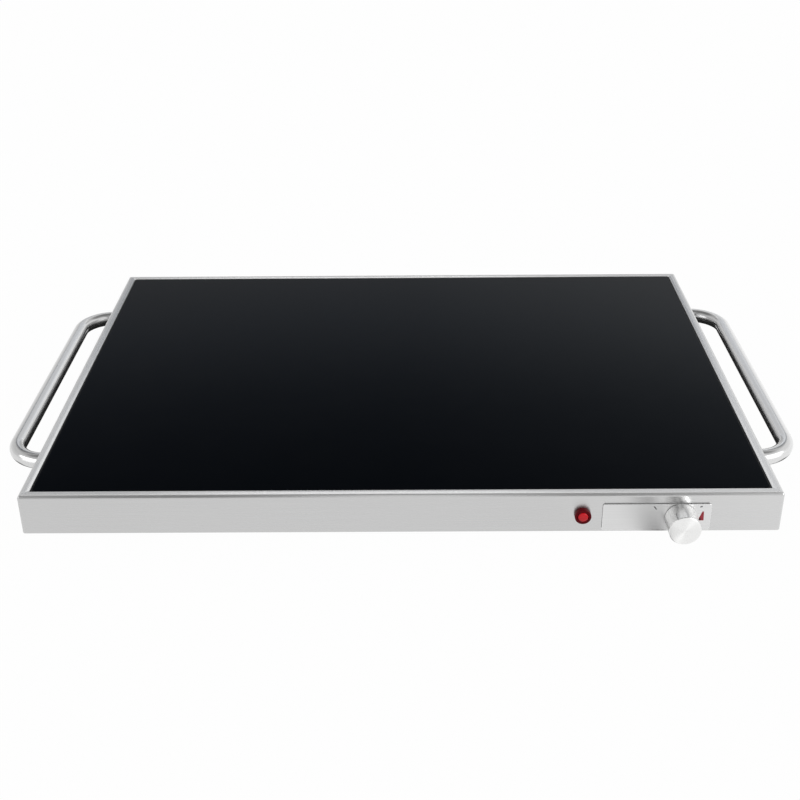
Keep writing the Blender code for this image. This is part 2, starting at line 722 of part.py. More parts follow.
def make_heat_shield(tray):
    """The tray that carries the heating stack, screwed up under the ledge."""
    fold = arc((SHIELD_WALL_INSET - SHIELD_BEND, SHIELD_RIM - SHIELD_BEND), SHIELD_BEND, 1, 0, 2)
    foot = arc((SHIELD_WALL_INSET + LEDGE_BEND, SHIELD_FLOOR + LEDGE_BEND), LEDGE_BEND, 2, 3, 2)
    section = [(SHIELD_EDGE_INSET, SHIELD_RIM)] + fold + foot
    shield = folded_sheet("heat_shield_tray", section, SHIELD_SHEET, "galvanised", floor=True)
    place(shield, tray)
    lead_hole = rod(
        "lead_hole", GROMMET_WAIST_RADIUS + SEAT_GAP, SHIELD_BOTTOM - CUT_OVERRUN,
        SHIELD_FLOOR + CUT_OVERRUN, ROUND_STEPS,
    )
    cut(shield, place(lead_hole, tray, (LEAD_HOLE_X, LEAD_HOLE_Y, 0)))
    seat = SHIELD_RIM - SHIELD_SHEET - SEAT_GAP
    length = LEDGE_TOP - seat
    for number, (x, y) in enumerate(shield_screw_places(), start=1):
        hole = rod(
            f"shield_hole_{number}", SHIELD_SCREW_RADIUS + SEAT_GAP,
            SHIELD_RIM - SHIELD_SHEET - CUT_OVERRUN, SHIELD_RIM + CUT_OVERRUN,
        )
        cut(shield, place(hole, tray, (x, y, 0)))
        screw = screw_solid(
            f"shield_screw_{number}", SHIELD_SCREW_RADIUS, length, SHIELD_SCREW_HEAD_RADIUS,
            SHIELD_SCREW_HEAD_HEIGHT, "zinc",
        )
        place(screw, tray, (x, y, seat))
    make_grommet(tray)


def make_grommet(tray):
    """A rubber ring in the shield's hole, where the element's two leads pass."""
    top = SHIELD_FLOOR + SEAT_GAP
    bottom = SHIELD_BOTTOM - SEAT_GAP
    profile = [
        (GROMMET_FLANGE_RADIUS, top + GROMMET_FLANGE_HEIGHT),
        (GROMMET_FLANGE_RADIUS, top),
        (GROMMET_WAIST_RADIUS, top),
        (GROMMET_WAIST_RADIUS, bottom),
        (GROMMET_FLANGE_RADIUS, bottom),
        (GROMMET_FLANGE_RADIUS, bottom - GROMMET_FLANGE_HEIGHT),
        (GROMMET_BORE_RADIUS, bottom - GROMMET_FLANGE_HEIGHT),
        (GROMMET_BORE_RADIUS, top + GROMMET_FLANGE_HEIGHT),
    ]
    grommet = turned("lead_grommet", profile, "black_rubber", ring=True)
    place(grommet, tray, (LEAD_HOLE_X, LEAD_HOLE_Y, 0))


def base_screw_places():
    """Three screws along the front and three along the back."""
    reach = BODY_WIDTH * BASE_SCREW_SIDE_SHARE
    y = BODY_DEPTH / 2 - BASE_SCREW_INSET
    return [(side_x * reach, side_y * y) for side_y in (-1, 1) for side_x in (-1, 0, 1)]


def foot_places():
    x = BODY_WIDTH / 2 - FOOT_INSET
    y = BODY_DEPTH / 2 - FOOT_INSET
    return {
        "front_left": (-x, -y),
        "front_right": (x, -y),
        "back_left": (-x, y),
        "back_right": (x, y),
    }


def slot_outlines():
    """Two fields of air slots in the base plate, left and right of its middle."""
    outlines = []
    for side in (-1, 1):
        for number in range(SLOT_COUNT):
            y = (number - (SLOT_COUNT - 1) / 2) * SLOT_PITCH
            centre = (side * BODY_WIDTH * SLOT_FIELD_SHARE, y)
            outlines.append(rounded_rectangle(SLOT_LENGTH, SLOT_WIDTH, SLOT_WIDTH / 2, centre, 3))
    return outlines


def make_base(tray):
    """The base plate closes the frame from below and carries the feet."""
    width = BODY_WIDTH - 2 * BASE_INSET
    depth = BODY_DEPTH - 2 * BASE_INSET
    outlines = [rounded_rectangle(width, depth, BASE_CORNER)]
    for centre in base_screw_places():
        outlines.append(circle(BASE_SCREW_RADIUS + SEAT_GAP, centre))
    for centre in foot_places().values():
        outlines.append(circle(FOOT_SCREW_RADIUS + SEAT_GAP, centre))
    outlines += slot_outlines()
    base = flat("base_plate", outlines, BASE_THICKNESS, "galvanised")
    place(base, tray, (0, 0, (BASE_TOP + BASE_BOTTOM) / 2))
    seat = BASE_BOTTOM - SEAT_GAP
    for number, (x, y) in enumerate(base_screw_places(), start=1):
        screw = screw_solid(
            f"base_screw_{number}", BASE_SCREW_RADIUS, BASE_SCREW_POINT - seat,
            BASE_SCREW_HEAD_RADIUS, BASE_SCREW_HEAD_HEIGHT, "zinc",
        )
        place(screw, tray, (x, y, seat))


def make_feet(tray):
    top = BASE_BOTTOM - SEAT_GAP
    bottom = -FOOT_STANDOFF
    recess_top = bottom + FOOT_RECESS_DEPTH
    hole = FOOT_SCREW_RADIUS + SEAT_GAP
    profile = [
        (FOOT_RADIUS, top),
        (FOOT_RADIUS - FOOT_TAPER, bottom + FOOT_EDGE),
        (FOOT_RADIUS - FOOT_TAPER - FOOT_EDGE, bottom),
        (FOOT_RECESS_RADIUS, bottom),
        (FOOT_RECESS_RADIUS, recess_top),
        (hole, recess_top),
        (hole, top),
    ]
    seat = recess_top - SEAT_GAP
    for corner, (x, y) in foot_places().items():
        foot = turned(f"foot_{corner}", profile, "black_rubber", ring=True)
        place(foot, tray, (x, y, 0))
        screw = screw_solid(
            f"foot_screw_{corner}", FOOT_SCREW_RADIUS, FOOT_SCREW_POINT - seat,
            FOOT_SCREW_HEAD_RADIUS, FOOT_SCREW_HEAD_HEIGHT, "zinc",
        )
        place(screw, tray, (x, y, seat))


def handle_legs():
    """The side and the end of each handle leg."""
    return [(side, end) for side in (-1, 1) for end in HANDLE_LEGS_Y]


def handle_leg_place(side, end):
    """Where a leg's axis meets the outside of the frame."""
    return (side * BODY_WIDTH / 2, HANDLE_LEGS_Y[end], HANDLE_HEIGHT)


def handle_leg_turn(side):
    """The turn that points a screw or cutter out of the frame's side."""
    return (0, side * QUARTER_TURN, 0)


def handle_points(side):
    """The centre line of a handle, seen from above: out, round, along, round and back."""
    wall = BODY_WIDTH / 2 + SEAT_GAP
    outside = BODY_WIDTH / 2 + HANDLE_REACH
    bend_x = outside - HANDLE_BEND
    near = HANDLE_LEGS_Y["front"]
    far = HANDLE_LEGS_Y["back"]
    first = near + HANDLE_BEND
    last = far - HANDLE_BEND
    flat_points = [(wall, near)]
    flat_points += arc((bend_x, first), HANDLE_BEND, -1, 0, HANDLE_BEND_STEPS)
    for row in range(1, HANDLE_SIDE_ROWS):
        flat_points.append((outside, first + (last - first) * row / HANDLE_SIDE_ROWS))
    flat_points += arc((bend_x, last), HANDLE_BEND, 0, 1, HANDLE_BEND_STEPS)
    flat_points.append((wall, far))
    return [(side * x, y, HANDLE_HEIGHT) for x, y in flat_points]


def make_handles(tray):
    """Each handle is a bent bar, held at both ends by a bolt through the frame's side."""
    hole_depth = HANDLE_SCREW_GRIP + SEAT_GAP
    for name, side in (("left_handle", -1), ("right_handle", 1)):
        bar = tube(name, handle_points(side), HANDLE_RADIUS, "satin_tube", 4)
        bar = smooth(as_mesh(bar, "satin_tube"))
        place(bar, tray)
        for end in HANDLE_LEGS_Y:
            hole = rod(
                f"{name}_{end}_bore", HANDLE_SCREW_RADIUS + SEAT_GAP, SEAT_GAP - CUT_OVERRUN,
                SEAT_GAP + hole_depth,
            )
            cut(bar, place(hole, tray, handle_leg_place(side, end), handle_leg_turn(side)))
            make_handle_bolt(f"{name}_bolt_{end}", tray, side, end)


def make_handle_bolt(name, tray, side, end):
    head = SHEET + SEAT_GAP
    length = head + SEAT_GAP + HANDLE_SCREW_GRIP
    bolt = screw_solid(
        name, HANDLE_SCREW_RADIUS, length, HANDLE_SCREW_HEAD_RADIUS, HANDLE_SCREW_HEAD_HEIGHT,
        "zinc",
    )
    x, y, z = handle_leg_place(side, end)
    place(bolt, tray, (x - side * head, y, z), handle_leg_turn(side))


def make_control_plate(front):
    edge = rounded_rectangle(PLATE_WIDTH, PLATE_HEIGHT, PLATE_CORNER)
    bush_hole = circle(
        BUSH_RADIUS + SEAT_GAP, (KNOB_X - PLATE_X, KNOB_HEIGHT - PLATE_MIDDLE), ROUND_STEPS
    )
    plate = as_mesh(flat("control_plate", [edge, bush_hole], PLATE_THICKNESS, None), "brushed_steel")
    bevel(plate, PLATE_EDGE)
    place(plate, front, (PLATE_X, PLATE_MIDDLE, (PLATE_BACK + PLATE_FRONT) / 2))


def make_knob(axis):
    """The knob, its grub screw and the thermostat spindle turn together about their own Z."""
    nut_room = KNOB_RADIUS - KNOB_WALL
    bore_end = SPINDLE_FRONT + SEAT_GAP
    profile = [
        (0, KNOB_FRONT),
        (KNOB_RADIUS - KNOB_EDGE, KNOB_FRONT),
        (KNOB_RADIUS, KNOB_FRONT - KNOB_EDGE),
        (KNOB_RADIUS, KNOB_BACK),
        (nut_room, KNOB_BACK),
        (nut_room, KNOB_RECESS_END),
        (0, KNOB_RECESS_END),
    ]
    knob = turned("control_knob", profile, "spun_aluminium", FINE_STEPS)
    place(knob, axis)
    bore = spindle_bore(bore_end)
    cut(knob, place(bore, axis))
    pointer = box("pointer_groove", (POINTER_WIDTH, 2 * POINTER_DEPTH, POINTER_LENGTH))
    x = -KNOB_RADIUS * sin(POINTER_ANGLE)
    y = KNOB_RADIUS * cos(POINTER_ANGLE)
    middle = KNOB_FRONT - POINTER_LENGTH / 2 + SEAT_GAP
    cut(knob, place(pointer, axis, (x, y, middle), (0, 0, POINTER_ANGLE)))
    make_grub_screw(axis, knob)
    make_spindle(axis)


def spindle_bore(end):
    """The D-shaped bore of the knob, as a cutter: round, with a flat on its lower side."""
    bore = rod("spindle_bore", SPINDLE_RADIUS + SEAT_GAP, KNOB_RECESS_END - CUT_OVERRUN, end, ROUND_STEPS)
    side = 2 * SPINDLE_RADIUS + 2 * CUT_OVERRUN
    fill = box("bore_flat", (side, side, side + end))
    flat_level = SPINDLE_RADIUS - SPINDLE_FLAT_DEPTH + SEAT_GAP
    place(fill, bore, (0, -flat_level - side / 2, end))
    return cut(bore, fill)


def make_grub_screw(axis, knob):
    """A socket screw up through the knob's wall onto the spindle's flat."""
    middle = KNOB_RECESS_END + SPINDLE_GRIP / 2
    inner = SPINDLE_RADIUS - SPINDLE_FLAT_DEPTH + SEAT_GAP
    outer = KNOB_RADIUS - GRUB_SCREW_SINK
    down = (QUARTER_TURN, 0, 0)
    hole = rod("grub_hole", GRUB_SCREW_RADIUS + SEAT_GAP, 0, KNOB_RADIUS + CUT_OVERRUN)
    cut(knob, place(hole, axis, (0, 0, middle), down))
    screw = rod("knob_grub_screw", GRUB_SCREW_RADIUS, inner, outer, SMALL_STEPS, "zinc")
    socket = rod("grub_socket", GRUB_SOCKET_RADIUS, outer - GRUB_SOCKET_DEPTH, outer + CUT_OVERRUN, 6)
    cut(screw, place(socket, axis, (0, 0, middle), down))
    place(screw, axis, (0, 0, middle), down)


def make_spindle(axis):
    spindle = rod(
        "thermostat_spindle", SPINDLE_RADIUS, SPINDLE_BACK, SPINDLE_FRONT, ROUND_STEPS, "brass"
    )
    side = 2 * SPINDLE_RADIUS + 2 * CUT_OVERRUN
    length = SPINDLE_GRIP + CUT_OVERRUN
    flat_cut = box("spindle_flat", (side, side, length))
    level = SPINDLE_RADIUS - SPINDLE_FLAT_DEPTH
    cut(spindle, place(flat_cut, axis, (0, -level - side / 2, KNOB_RECESS_END + length / 2)))
    place(spindle, axis)


def make_thermostat(front):
    """The thermostat's case, its threaded bush through the front face and its nut."""
    height = THERMOSTAT_TOP - THERMOSTAT_BOTTOM
    case = box(
        "thermostat_body", (THERMOSTAT_WIDTH, height, THERMOSTAT_DEPTH), "ceramic", THERMOSTAT_EDGE
    )
    middle = (THERMOSTAT_BOTTOM + THERMOSTAT_TOP) / 2
    place(case, front, (KNOB_X, middle, THERMOSTAT_FRONT - THERMOSTAT_DEPTH / 2))
    bush = rod(
        "bush", BUSH_RADIUS, THERMOSTAT_FRONT - THERMOSTAT_EDGE, BUSH_FRONT, ROUND_STEPS
    )
    join(case, place(bush, front, (KNOB_X, KNOB_HEIGHT, 0)))
    for way in (-1, 0, 1):
        tab_length = TAB_LENGTH + THERMOSTAT_EDGE
        tab = box(f"thermostat_tab_{way + 1}", (TAB_WIDTH, TAB_THICKNESS, tab_length))
        depth = THERMOSTAT_BACK + THERMOSTAT_EDGE - tab_length / 2
        join(case, place(tab, front, (KNOB_X + way * TAB_PITCH, TAB_HEIGHT, depth)))
    bore = rod(
        "bush_bore", SPINDLE_RADIUS + SEAT_GAP, SPINDLE_BACK - SEAT_GAP, BUSH_FRONT + CUT_OVERRUN,
        ROUND_STEPS,
    )
    cut(case, place(bore, front, (KNOB_X, KNOB_HEIGHT, 0)))
    nut_outline = hexagon_ring(BUSH_NUT_RADIUS, BUSH_RADIUS + SEAT_GAP)
    nut = flat("thermostat_nut", nut_outline, BUSH_NUT_HEIGHT, "zinc")
    place(nut, front, (KNOB_X, KNOB_HEIGHT, (NUT_BACK + NUT_FRONT) / 2))


def make_bulb(tray, front_y):
    """The sensing bulb, clipped under the shield, and its capillary from the thermostat."""
    bulb = rod(
        "sensing_bulb", BULB_RADIUS, -BULB_LENGTH / 2, BULB_LENGTH / 2, SMALL_STEPS, "copper"
    )
    place(bulb, tray, (BULB_X, BULB_Y, BULB_HEIGHT), (0, QUARTER_TURN, 0))
    make_bulb_clip(tray)
    start = (KNOB_X + CAPILLARY_SIDE, front_y - THERMOSTAT_BACK + SEAT_GAP, BULB_HEIGHT - BULB_RADIUS)
    end = (BULB_X + BULB_LENGTH / 2 + SEAT_GAP, BULB_Y, BULB_HEIGHT)
    wire("capillary_tube", start, (0, 1, 0), end, (1, 0, 0), "copper", tray, radius=CAPILLARY_RADIUS)


def make_bulb_clip(tray):
    """A strap that runs under the bulb, with a foot on each side against the shield."""
    inner = BULB_RADIUS + SEAT_GAP
    foot_level = BULB_RADIUS
    strap = arc((0, 0), inner, 2, 4, 2 * BEND_STEPS)
    section = [(-inner - BULB_CLIP_FOOT, foot_level), (-inner, foot_level)]
    section += strap
    section += [(inner, foot_level), (inner + BULB_CLIP_FOOT, foot_level)]
    shape = bmesh.new()
    rows = []
    for end in (-1, 1):
        x = end * BULB_CLIP_WIDTH / 2
        points = [shape.verts.new((x, y, z)) for y, z in section]
        rows.append([shape.edges.new(pair) for pair in zip(points, points[1:])])
    bmesh.ops.bridge_loops(shape, edges=rows[0] + rows[1])
    clip = link_mesh("bulb_clip", shape, "galvanised")
    sheet = clip.modifiers.new("sheet_thickness", "SOLIDIFY")
    sheet.thickness = BULB_CLIP_SHEET
    sheet.offset = 1
    sheet.use_even_offset = True
    place(clip, tray, (BULB_X, BULB_Y, BULB_HEIGHT))


def make_cutout(tray):
    """The overheat cut-out: a disc under the shield with a tab on each side."""
    profile = [
        (0, 0),
        (CUTOUT_FLANGE_RADIUS, 0),
        (CUTOUT_FLANGE_RADIUS, -CUTOUT_FLANGE_HEIGHT),
        (CUTOUT_RADIUS, -CUTOUT_FLANGE_HEIGHT),
        (CUTOUT_RADIUS, -CUTOUT_FLANGE_HEIGHT - CUTOUT_HEIGHT),
        (0, -CUTOUT_FLANGE_HEIGHT - CUTOUT_HEIGHT),
    ]
    cutout = turned("thermal_cutout", profile, "dark_phenolic")
    place(cutout, tray, (CUTOUT_X, CUTOUT_Y, CUTOUT_TOP))
    for side in (-1, 1):
        length = TAB_LENGTH + CUTOUT_RADIUS / 2
        tab = box(f"cutout_tab_{side + 1}", (length, TAB_WIDTH, TAB_THICKNESS))
        x = CUTOUT_X + side * (CUTOUT_RADIUS + TAB_LENGTH - length / 2)
        join(cutout, place(tab, tray, (x, CUTOUT_Y, CUTOUT_TAB_HEIGHT)))


def make_pilot_lamp(front):
    """The pilot lamp: a bezel with a barrel through the face, a lens, a nut and a lamp holder."""
    place_on_face = (LAMP_X, LAMP_HEIGHT, 0)
    bezel_front = SEAT_GAP + LAMP_BEZEL_HEIGHT
    barrel_back = SEAT_GAP - LAMP_BARREL_LENGTH
    bore = LAMP_LENS_STEM_RADIUS + SEAT_GAP
    bezel_profile = [
        (LAMP_LENS_RADIUS + SEAT_GAP, bezel_front),
        (LAMP_BEZEL_RADIUS - LAMP_BEZEL_EDGE, bezel_front),
        (LAMP_BEZEL_RADIUS, bezel_front - LAMP_BEZEL_EDGE),
        (LAMP_BEZEL_RADIUS, SEAT_GAP),
        (LAMP_BARREL_RADIUS, SEAT_GAP),
        (LAMP_BARREL_RADIUS, barrel_back),
        (bore, barrel_back),
        (bore, SEAT_GAP),
        (LAMP_LENS_RADIUS + SEAT_GAP, SEAT_GAP),
    ]
    bezel = turned("pilot_lamp_bezel", bezel_profile, "dark_red_plastic", ring=True)
    place(bezel, front, place_on_face)
    lens_back = 2 * SEAT_GAP
    crown = bezel_front + LAMP_LENS_HEIGHT
    lens_profile = [
        (0, crown),
        (LAMP_LENS_RADIUS * cos(QUARTER_TURN / 2), crown - LAMP_BEZEL_EDGE / 3),
        (LAMP_LENS_RADIUS, crown - LAMP_BEZEL_EDGE * 2),
        (LAMP_LENS_RADIUS, lens_back),
        (LAMP_LENS_STEM_RADIUS, lens_back),
        (LAMP_LENS_STEM_RADIUS, lens_back - LAMP_LENS_STEM_LENGTH),
        (0, lens_back - LAMP_LENS_STEM_LENGTH),
    ]
    place(turned("pilot_lamp_lens", lens_profile, "red_lens"), front, place_on_face)
    nut_outline = hexagon_ring(LAMP_NUT_RADIUS, LAMP_BARREL_RADIUS + SEAT_GAP)
    nut = flat("pilot_lamp_nut", nut_outline, LAMP_NUT_HEIGHT, "black_plastic")
    nut_middle = -SHEET - SEAT_GAP - LAMP_NUT_HEIGHT / 2
    place(nut, front, (LAMP_X, LAMP_HEIGHT, nut_middle))
    holder_front = barrel_back - SEAT_GAP
    holder_back = holder_front - LAMP_HOLDER_LENGTH
    holder = rod(
        "pilot_lamp_holder", LAMP_HOLDER_RADIUS, holder_back, holder_front, SMALL_STEPS, "black_plastic"
    )
    place(holder, front, place_on_face)
    for side in (-1, 1):
        length = TAB_LENGTH + LAMP_HOLDER_LENGTH / 2
        tab = box(f"lamp_tab_{side + 1}", (TAB_THICKNESS, TAB_THICKNESS, length))
        x = LAMP_X + side * LAMP_TAB_PITCH / 2
        depth = holder_back - TAB_LENGTH + length / 2
        join(holder, place(tab, front, (x, LAMP_HEIGHT - LAMP_TAB_DROP, depth)))


def make_gland(back):
    """The cord gland: a cap outside, a barrel through the back face and a nut inside."""
    face = SEAT_GAP
    flange = face + GLAND_FLANGE_HEIGHT
    end = flange + GLAND_CAP_HEIGHT
    barrel = face - GLAND_BARREL_LENGTH
    profile = [
        (GLAND_BORE_RADIUS + GLAND_EDGE / 2, end),
        (GLAND_CAP_RADIUS - GLAND_EDGE, end),
        (GLAND_CAP_RADIUS, end - GLAND_EDGE),
        (GLAND_CAP_RADIUS, flange),
        (GLAND_FLANGE_RADIUS, flange),
        (GLAND_FLANGE_RADIUS, face),
        (GLAND_BARREL_RADIUS, face),
        (GLAND_BARREL_RADIUS, barrel),
        (GLAND_BORE_RADIUS, barrel),
        (GLAND_BORE_RADIUS, end - GLAND_EDGE / 2),
    ]
    gland = turned("cord_gland", profile, "black_plastic", ring=True)
    place(gland, back, (-GLAND_X, GLAND_HEIGHT, 0))
    nut_outline = hexagon_ring(GLAND_NUT_RADIUS, GLAND_BARREL_RADIUS + SEAT_GAP)
    nut = flat("gland_nut", nut_outline, GLAND_NUT_HEIGHT, "black_plastic")
    place(nut, back, (-GLAND_X, GLAND_HEIGHT, -SHEET - SEAT_GAP - GLAND_NUT_HEIGHT / 2))


def way_place(way):
    """The front port of one of the terminal block's ways, counted from the left."""
    x = GLAND_X + (way - (BLOCK_WAYS - 1) / 2) * BLOCK_PITCH
    return (x, BLOCK_Y - BLOCK_DEPTH / 2 - SEAT_GAP, BLOCK_HEIGHT / 2)


def make_terminals(tray):
    """The terminal block and the earth stud stand on the base plate."""
    block = box("terminal_block", (BLOCK_WIDTH, BLOCK_DEPTH, BLOCK_HEIGHT), "ceramic", BLOCK_EDGE)
    place(block, tray, (GLAND_X, BLOCK_Y, BASE_TOP + SEAT_GAP + BLOCK_HEIGHT / 2))
    block_top = BASE_TOP + SEAT_GAP + BLOCK_HEIGHT
    for way in range(BLOCK_WAYS):
        well = rod(
            f"terminal_well_{way}", BLOCK_WELL_RADIUS, block_top - BLOCK_WELL_DEPTH,
            block_top + CUT_OVERRUN,
        )
        cut(block, place(well, tray, (way_place(way)[0], BLOCK_Y, 0)))
    foot = BASE_TOP + SEAT_GAP
    profile = [
        (0, foot + EARTH_STUD_LENGTH),
        (EARTH_STUD_RADIUS, foot + EARTH_STUD_LENGTH),
        (EARTH_STUD_RADIUS, foot + EARTH_COLLAR_HEIGHT),
        (EARTH_COLLAR_RADIUS, foot + EARTH_COLLAR_HEIGHT),
        (EARTH_COLLAR_RADIUS, foot),
        (0, foot),
    ]
    place(turned("earth_stud", profile, "zinc", SMALL_STEPS), tray, (EARTH_X, BLOCK_Y, 0))


def make_wires(tray):
    """The wires run between the block, the thermostat, the lamp, the cut-out and the element."""
    ahead = (0, -1, 0)
    behind = (0, 1, 0)
    below = (0, 0, -1)
    inside_front = -BODY_DEPTH / 2
    tab_end = inside_front - THERMOSTAT_BACK + TAB_LENGTH + SEAT_GAP
    tabs = [(KNOB_X + way * TAB_PITCH, tab_end, TAB_HEIGHT) for way in (-1, 0, 1)]
    lamp_depth = LAMP_BARREL_LENGTH + LAMP_HOLDER_LENGTH + TAB_LENGTH + SEAT_GAP
    lamp_tabs = [
        (LAMP_X + side * LAMP_TAB_PITCH / 2, inside_front + lamp_depth, LAMP_HEIGHT - LAMP_TAB_DROP)
        for side in (-1, 1)
    ]
    cutout_reach = CUTOUT_RADIUS + TAB_LENGTH + SEAT_GAP
    cutout_tabs = [(CUTOUT_X + side * cutout_reach, CUTOUT_Y, CUTOUT_TAB_HEIGHT) for side in (-1, 1)]
    lead_end = ELEMENT_TOP - ELEMENT_THICKNESS - SEAT_GAP
    leads = [(LEAD_HOLE_X + side * LEAD_PITCH / 2, LEAD_HOLE_Y, lead_end) for side in (-1, 1)]
    straight = lead_end - SHIELD_BOTTOM + GROMMET_FLANGE_HEIGHT + WIRE_RADIUS
    up_slack = ROOM_HEIGHT / 3
    wire("live_wire", way_place(2), ahead, tabs[2], behind, "brown_wire", tray)
    wire("cutout_wire", tabs[1], behind, cutout_tabs[1], (1, 0, 0), "brown_wire", tray)
    wire("element_live_wire", cutout_tabs[0], (-1, 0, 0), leads[0], below, "brown_wire", tray,
         end_lead=straight, end_slack=up_slack)
    wire("element_neutral_wire", way_place(0), ahead, leads[1], below, "blue_wire", tray,
         end_lead=straight, end_slack=up_slack)
    wire("lamp_live_wire", lamp_tabs[1], behind, tabs[0], behind, "brown_wire", tray)
    wire("lamp_neutral_wire", lamp_tabs[0], behind, way_place(1), ahead, "blue_wire", tray,
         dip=WIRE_DIP)
    stud_side = (EARTH_X - EARTH_STUD_RADIUS - SEAT_GAP, BLOCK_Y, BLOCK_HEIGHT / 2)
    wire("earth_wire", way_place(3), ahead, stud_side, (-1, 0, 0), "green_wire", tray,
         slack=EARTH_TO_BLOCK / 4, end_slack=EARTH_TO_BLOCK / 4)


def make_tray():
    tray = empty("tray_centre", None, (0, CENTRE_Y, FOOT_STANDOFF))
    front = empty("front_face", tray, (0, -BODY_DEPTH / 2, 0), (QUARTER_TURN, 0, 0))
    back = empty("back_face", tray, (0, BODY_DEPTH / 2, 0), (QUARTER_TURN, 0, pi))
    knob_axis = empty("knob_axis", front, (KNOB_X, KNOB_HEIGHT, 0))
    make_frame(tray, front, back)
    make_glass(tray)
    make_heating_stack(tray)
    make_heat_shield(tray)
    make_base(tray)
    make_feet(tray)
    make_handles(tray)
    make_control_plate(front)
    make_knob(knob_axis)
    make_thermostat(front)
    make_bulb(tray, -BODY_DEPTH / 2)
    make_cutout(tray)
    make_pilot_lamp(front)
    make_gland(back)
    make_terminals(tray)
    make_wires(tray)


make_tray()
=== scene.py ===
"""The electric food warmer tray as it looks: steel skin, black glass, handles, knob and lamp.

Units are metres in the row frame: X to the right, Y to the back, Z up, with the feet on Z = 0.
Heights in a section are above the bottom edge of the folded frame.
"""
from math import cos, hypot, pi, radians, sin

import bmesh
import bpy
from mathutils import Matrix, Vector


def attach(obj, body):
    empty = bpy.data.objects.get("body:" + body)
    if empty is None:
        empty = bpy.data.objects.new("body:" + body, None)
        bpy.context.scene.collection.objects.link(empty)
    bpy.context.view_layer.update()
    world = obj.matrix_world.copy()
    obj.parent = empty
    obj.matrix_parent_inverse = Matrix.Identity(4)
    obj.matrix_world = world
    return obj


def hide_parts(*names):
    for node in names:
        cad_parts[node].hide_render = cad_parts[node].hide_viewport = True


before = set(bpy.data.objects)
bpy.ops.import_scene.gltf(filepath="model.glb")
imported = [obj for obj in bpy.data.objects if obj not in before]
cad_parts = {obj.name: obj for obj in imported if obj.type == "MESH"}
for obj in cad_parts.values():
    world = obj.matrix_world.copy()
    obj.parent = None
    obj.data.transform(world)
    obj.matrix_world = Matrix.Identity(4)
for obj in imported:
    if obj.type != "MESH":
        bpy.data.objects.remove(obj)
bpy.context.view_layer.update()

# Where the tray stands in the row frame, and its outer size
FOOT_STANDOFF = 0.010
CENTRE_Y = 0.00535
HALF_WIDTH = 0.300
HALF_DEPTH = 0.225
BODY_HEIGHT = 0.035
FRONT_Y = CENTRE_Y - HALF_DEPTH
BACK_Y = CENTRE_Y + HALF_DEPTH
# The gap that seated pieces keep
SEAT_GAP = 0.0003
QUARTER_TURN = pi / 2
FULL_TURN = 2 * pi
# A point nearer than this to a turned shape's axis lies on it
WELD = 0.00001
SHARP_ANGLE = radians(35)

# Folded sheet of the frame
SHEET = 0.0008
CORNER_RADIUS = 0.002
TIGHT_RADIUS = 0.0002
OPENING_RADIUS = 0.0015
RIM_WIDTH = 0.008
RIM_BEND = 0.003
RIM_SLOPE_START = 0.0052
RIM_SLOPE_END = 0.0074
RIM_DROP = 0.0003
RIM_DROP_POWER = 1.5
RIM_INNER_BEND = 0.0005
RIM_INNER_START = 0.9
BOTTOM_BEND = 0.0012
BOTTOM_FLANGE = 0.014
LEDGE_BEND = 0.0005
LEDGE_TOP = 0.0289
LEDGE_END = 0.020

# Glass and the gasket round it
GLASS_TOP = 0.0345
GLASS_THICKNESS = 0.004
GLASS_INSET = 0.0091
GLASS_CORNER = 0.004
GLASS_EDGE = 0.0005
SEAL_INSET = 0.0083
SEAL_LIP = 0.0005
SEAL_PAD_WIDTH = 0.009
SEAL_THICKNESS = 0.001
SEAL_TOP = 0.034
SEAL_CORNER = 0.0017
SEAL_INNER_CORNER = 0.0043

# Handles
HANDLE_RADIUS = 0.007
HANDLE_BEND = 0.030
HANDLE_REACH = 0.031
HANDLE_FRONT_LEG = -0.14225
HANDLE_BACK_LEG = 0.15025
HANDLE_Z = 0.018
HANDLE_EDGE = 0.0006
HANDLE_SCREW_HOLE = 0.0033
HANDLE_BORE_DEPTH = 0.0073

# Control plate, and the marks printed on it, measured from the knob's axis
PLATE_WIDTH = 0.085
PLATE_HEIGHT = 0.0241
PLATE_THICKNESS = 0.001
PLATE_CORNER = 0.002
PLATE_EDGE = 0.0003
PLATE_X = 0.2013
PLATE_Z = 0.01405
PLATE_BACK = SEAT_GAP
PLATE_FRONT = PLATE_BACK + PLATE_THICKNESS
INK = 0.00004
THICK_INK = 0.00007
LOW_MARK = ((-0.0219, 0.0100), (-0.0212, 0.0103), (-0.0190, 0.0074), (-0.0197, 0.0071))
HIGH_MARK = ((0.0147, 0.0101), (0.0164, 0.0105), (0.0164, 0.0092), (0.0147, 0.0088))
HEAT_WEDGE = ((0.0137, -0.0032), (0.0184, -0.0032), (0.0180, 0.0051), (0.0168, 0.0051))
HEAT_SPOT = ((0.0143, -0.0028), (0.0160, -0.0028), (0.0162, -0.0010), (0.0150, -0.0008))

# Knob and the thermostat's bush behind it
BUSH_RADIUS = 0.005
KNOB_X = 0.220
KNOB_Z = 0.01405
KNOB_RADIUS = 0.0125
KNOB_BACK = 0.0018
KNOB_FRONT = 0.021
KNOB_EDGE = 0.0007
KNOB_ROOM = 0.0095
KNOB_RECESS = 0.0052
KNOB_DISH = 0.00012
# Shares of the radius, and of the dish's depth there
KNOB_FACE = ((0, 1), (0.45, 0.7), (0.8, 0.15))
SPINDLE_BORE = 0.0033
SPINDLE_END = 0.0135
POINTER_WIDTH = 0.0008
POINTER_DEPTH = 0.0004
POINTER_LENGTH = 0.009
POINTER_ANGLE = radians(32)
GRUB_HOLE = 0.0018
GRUB_DISTANCE = 0.0092

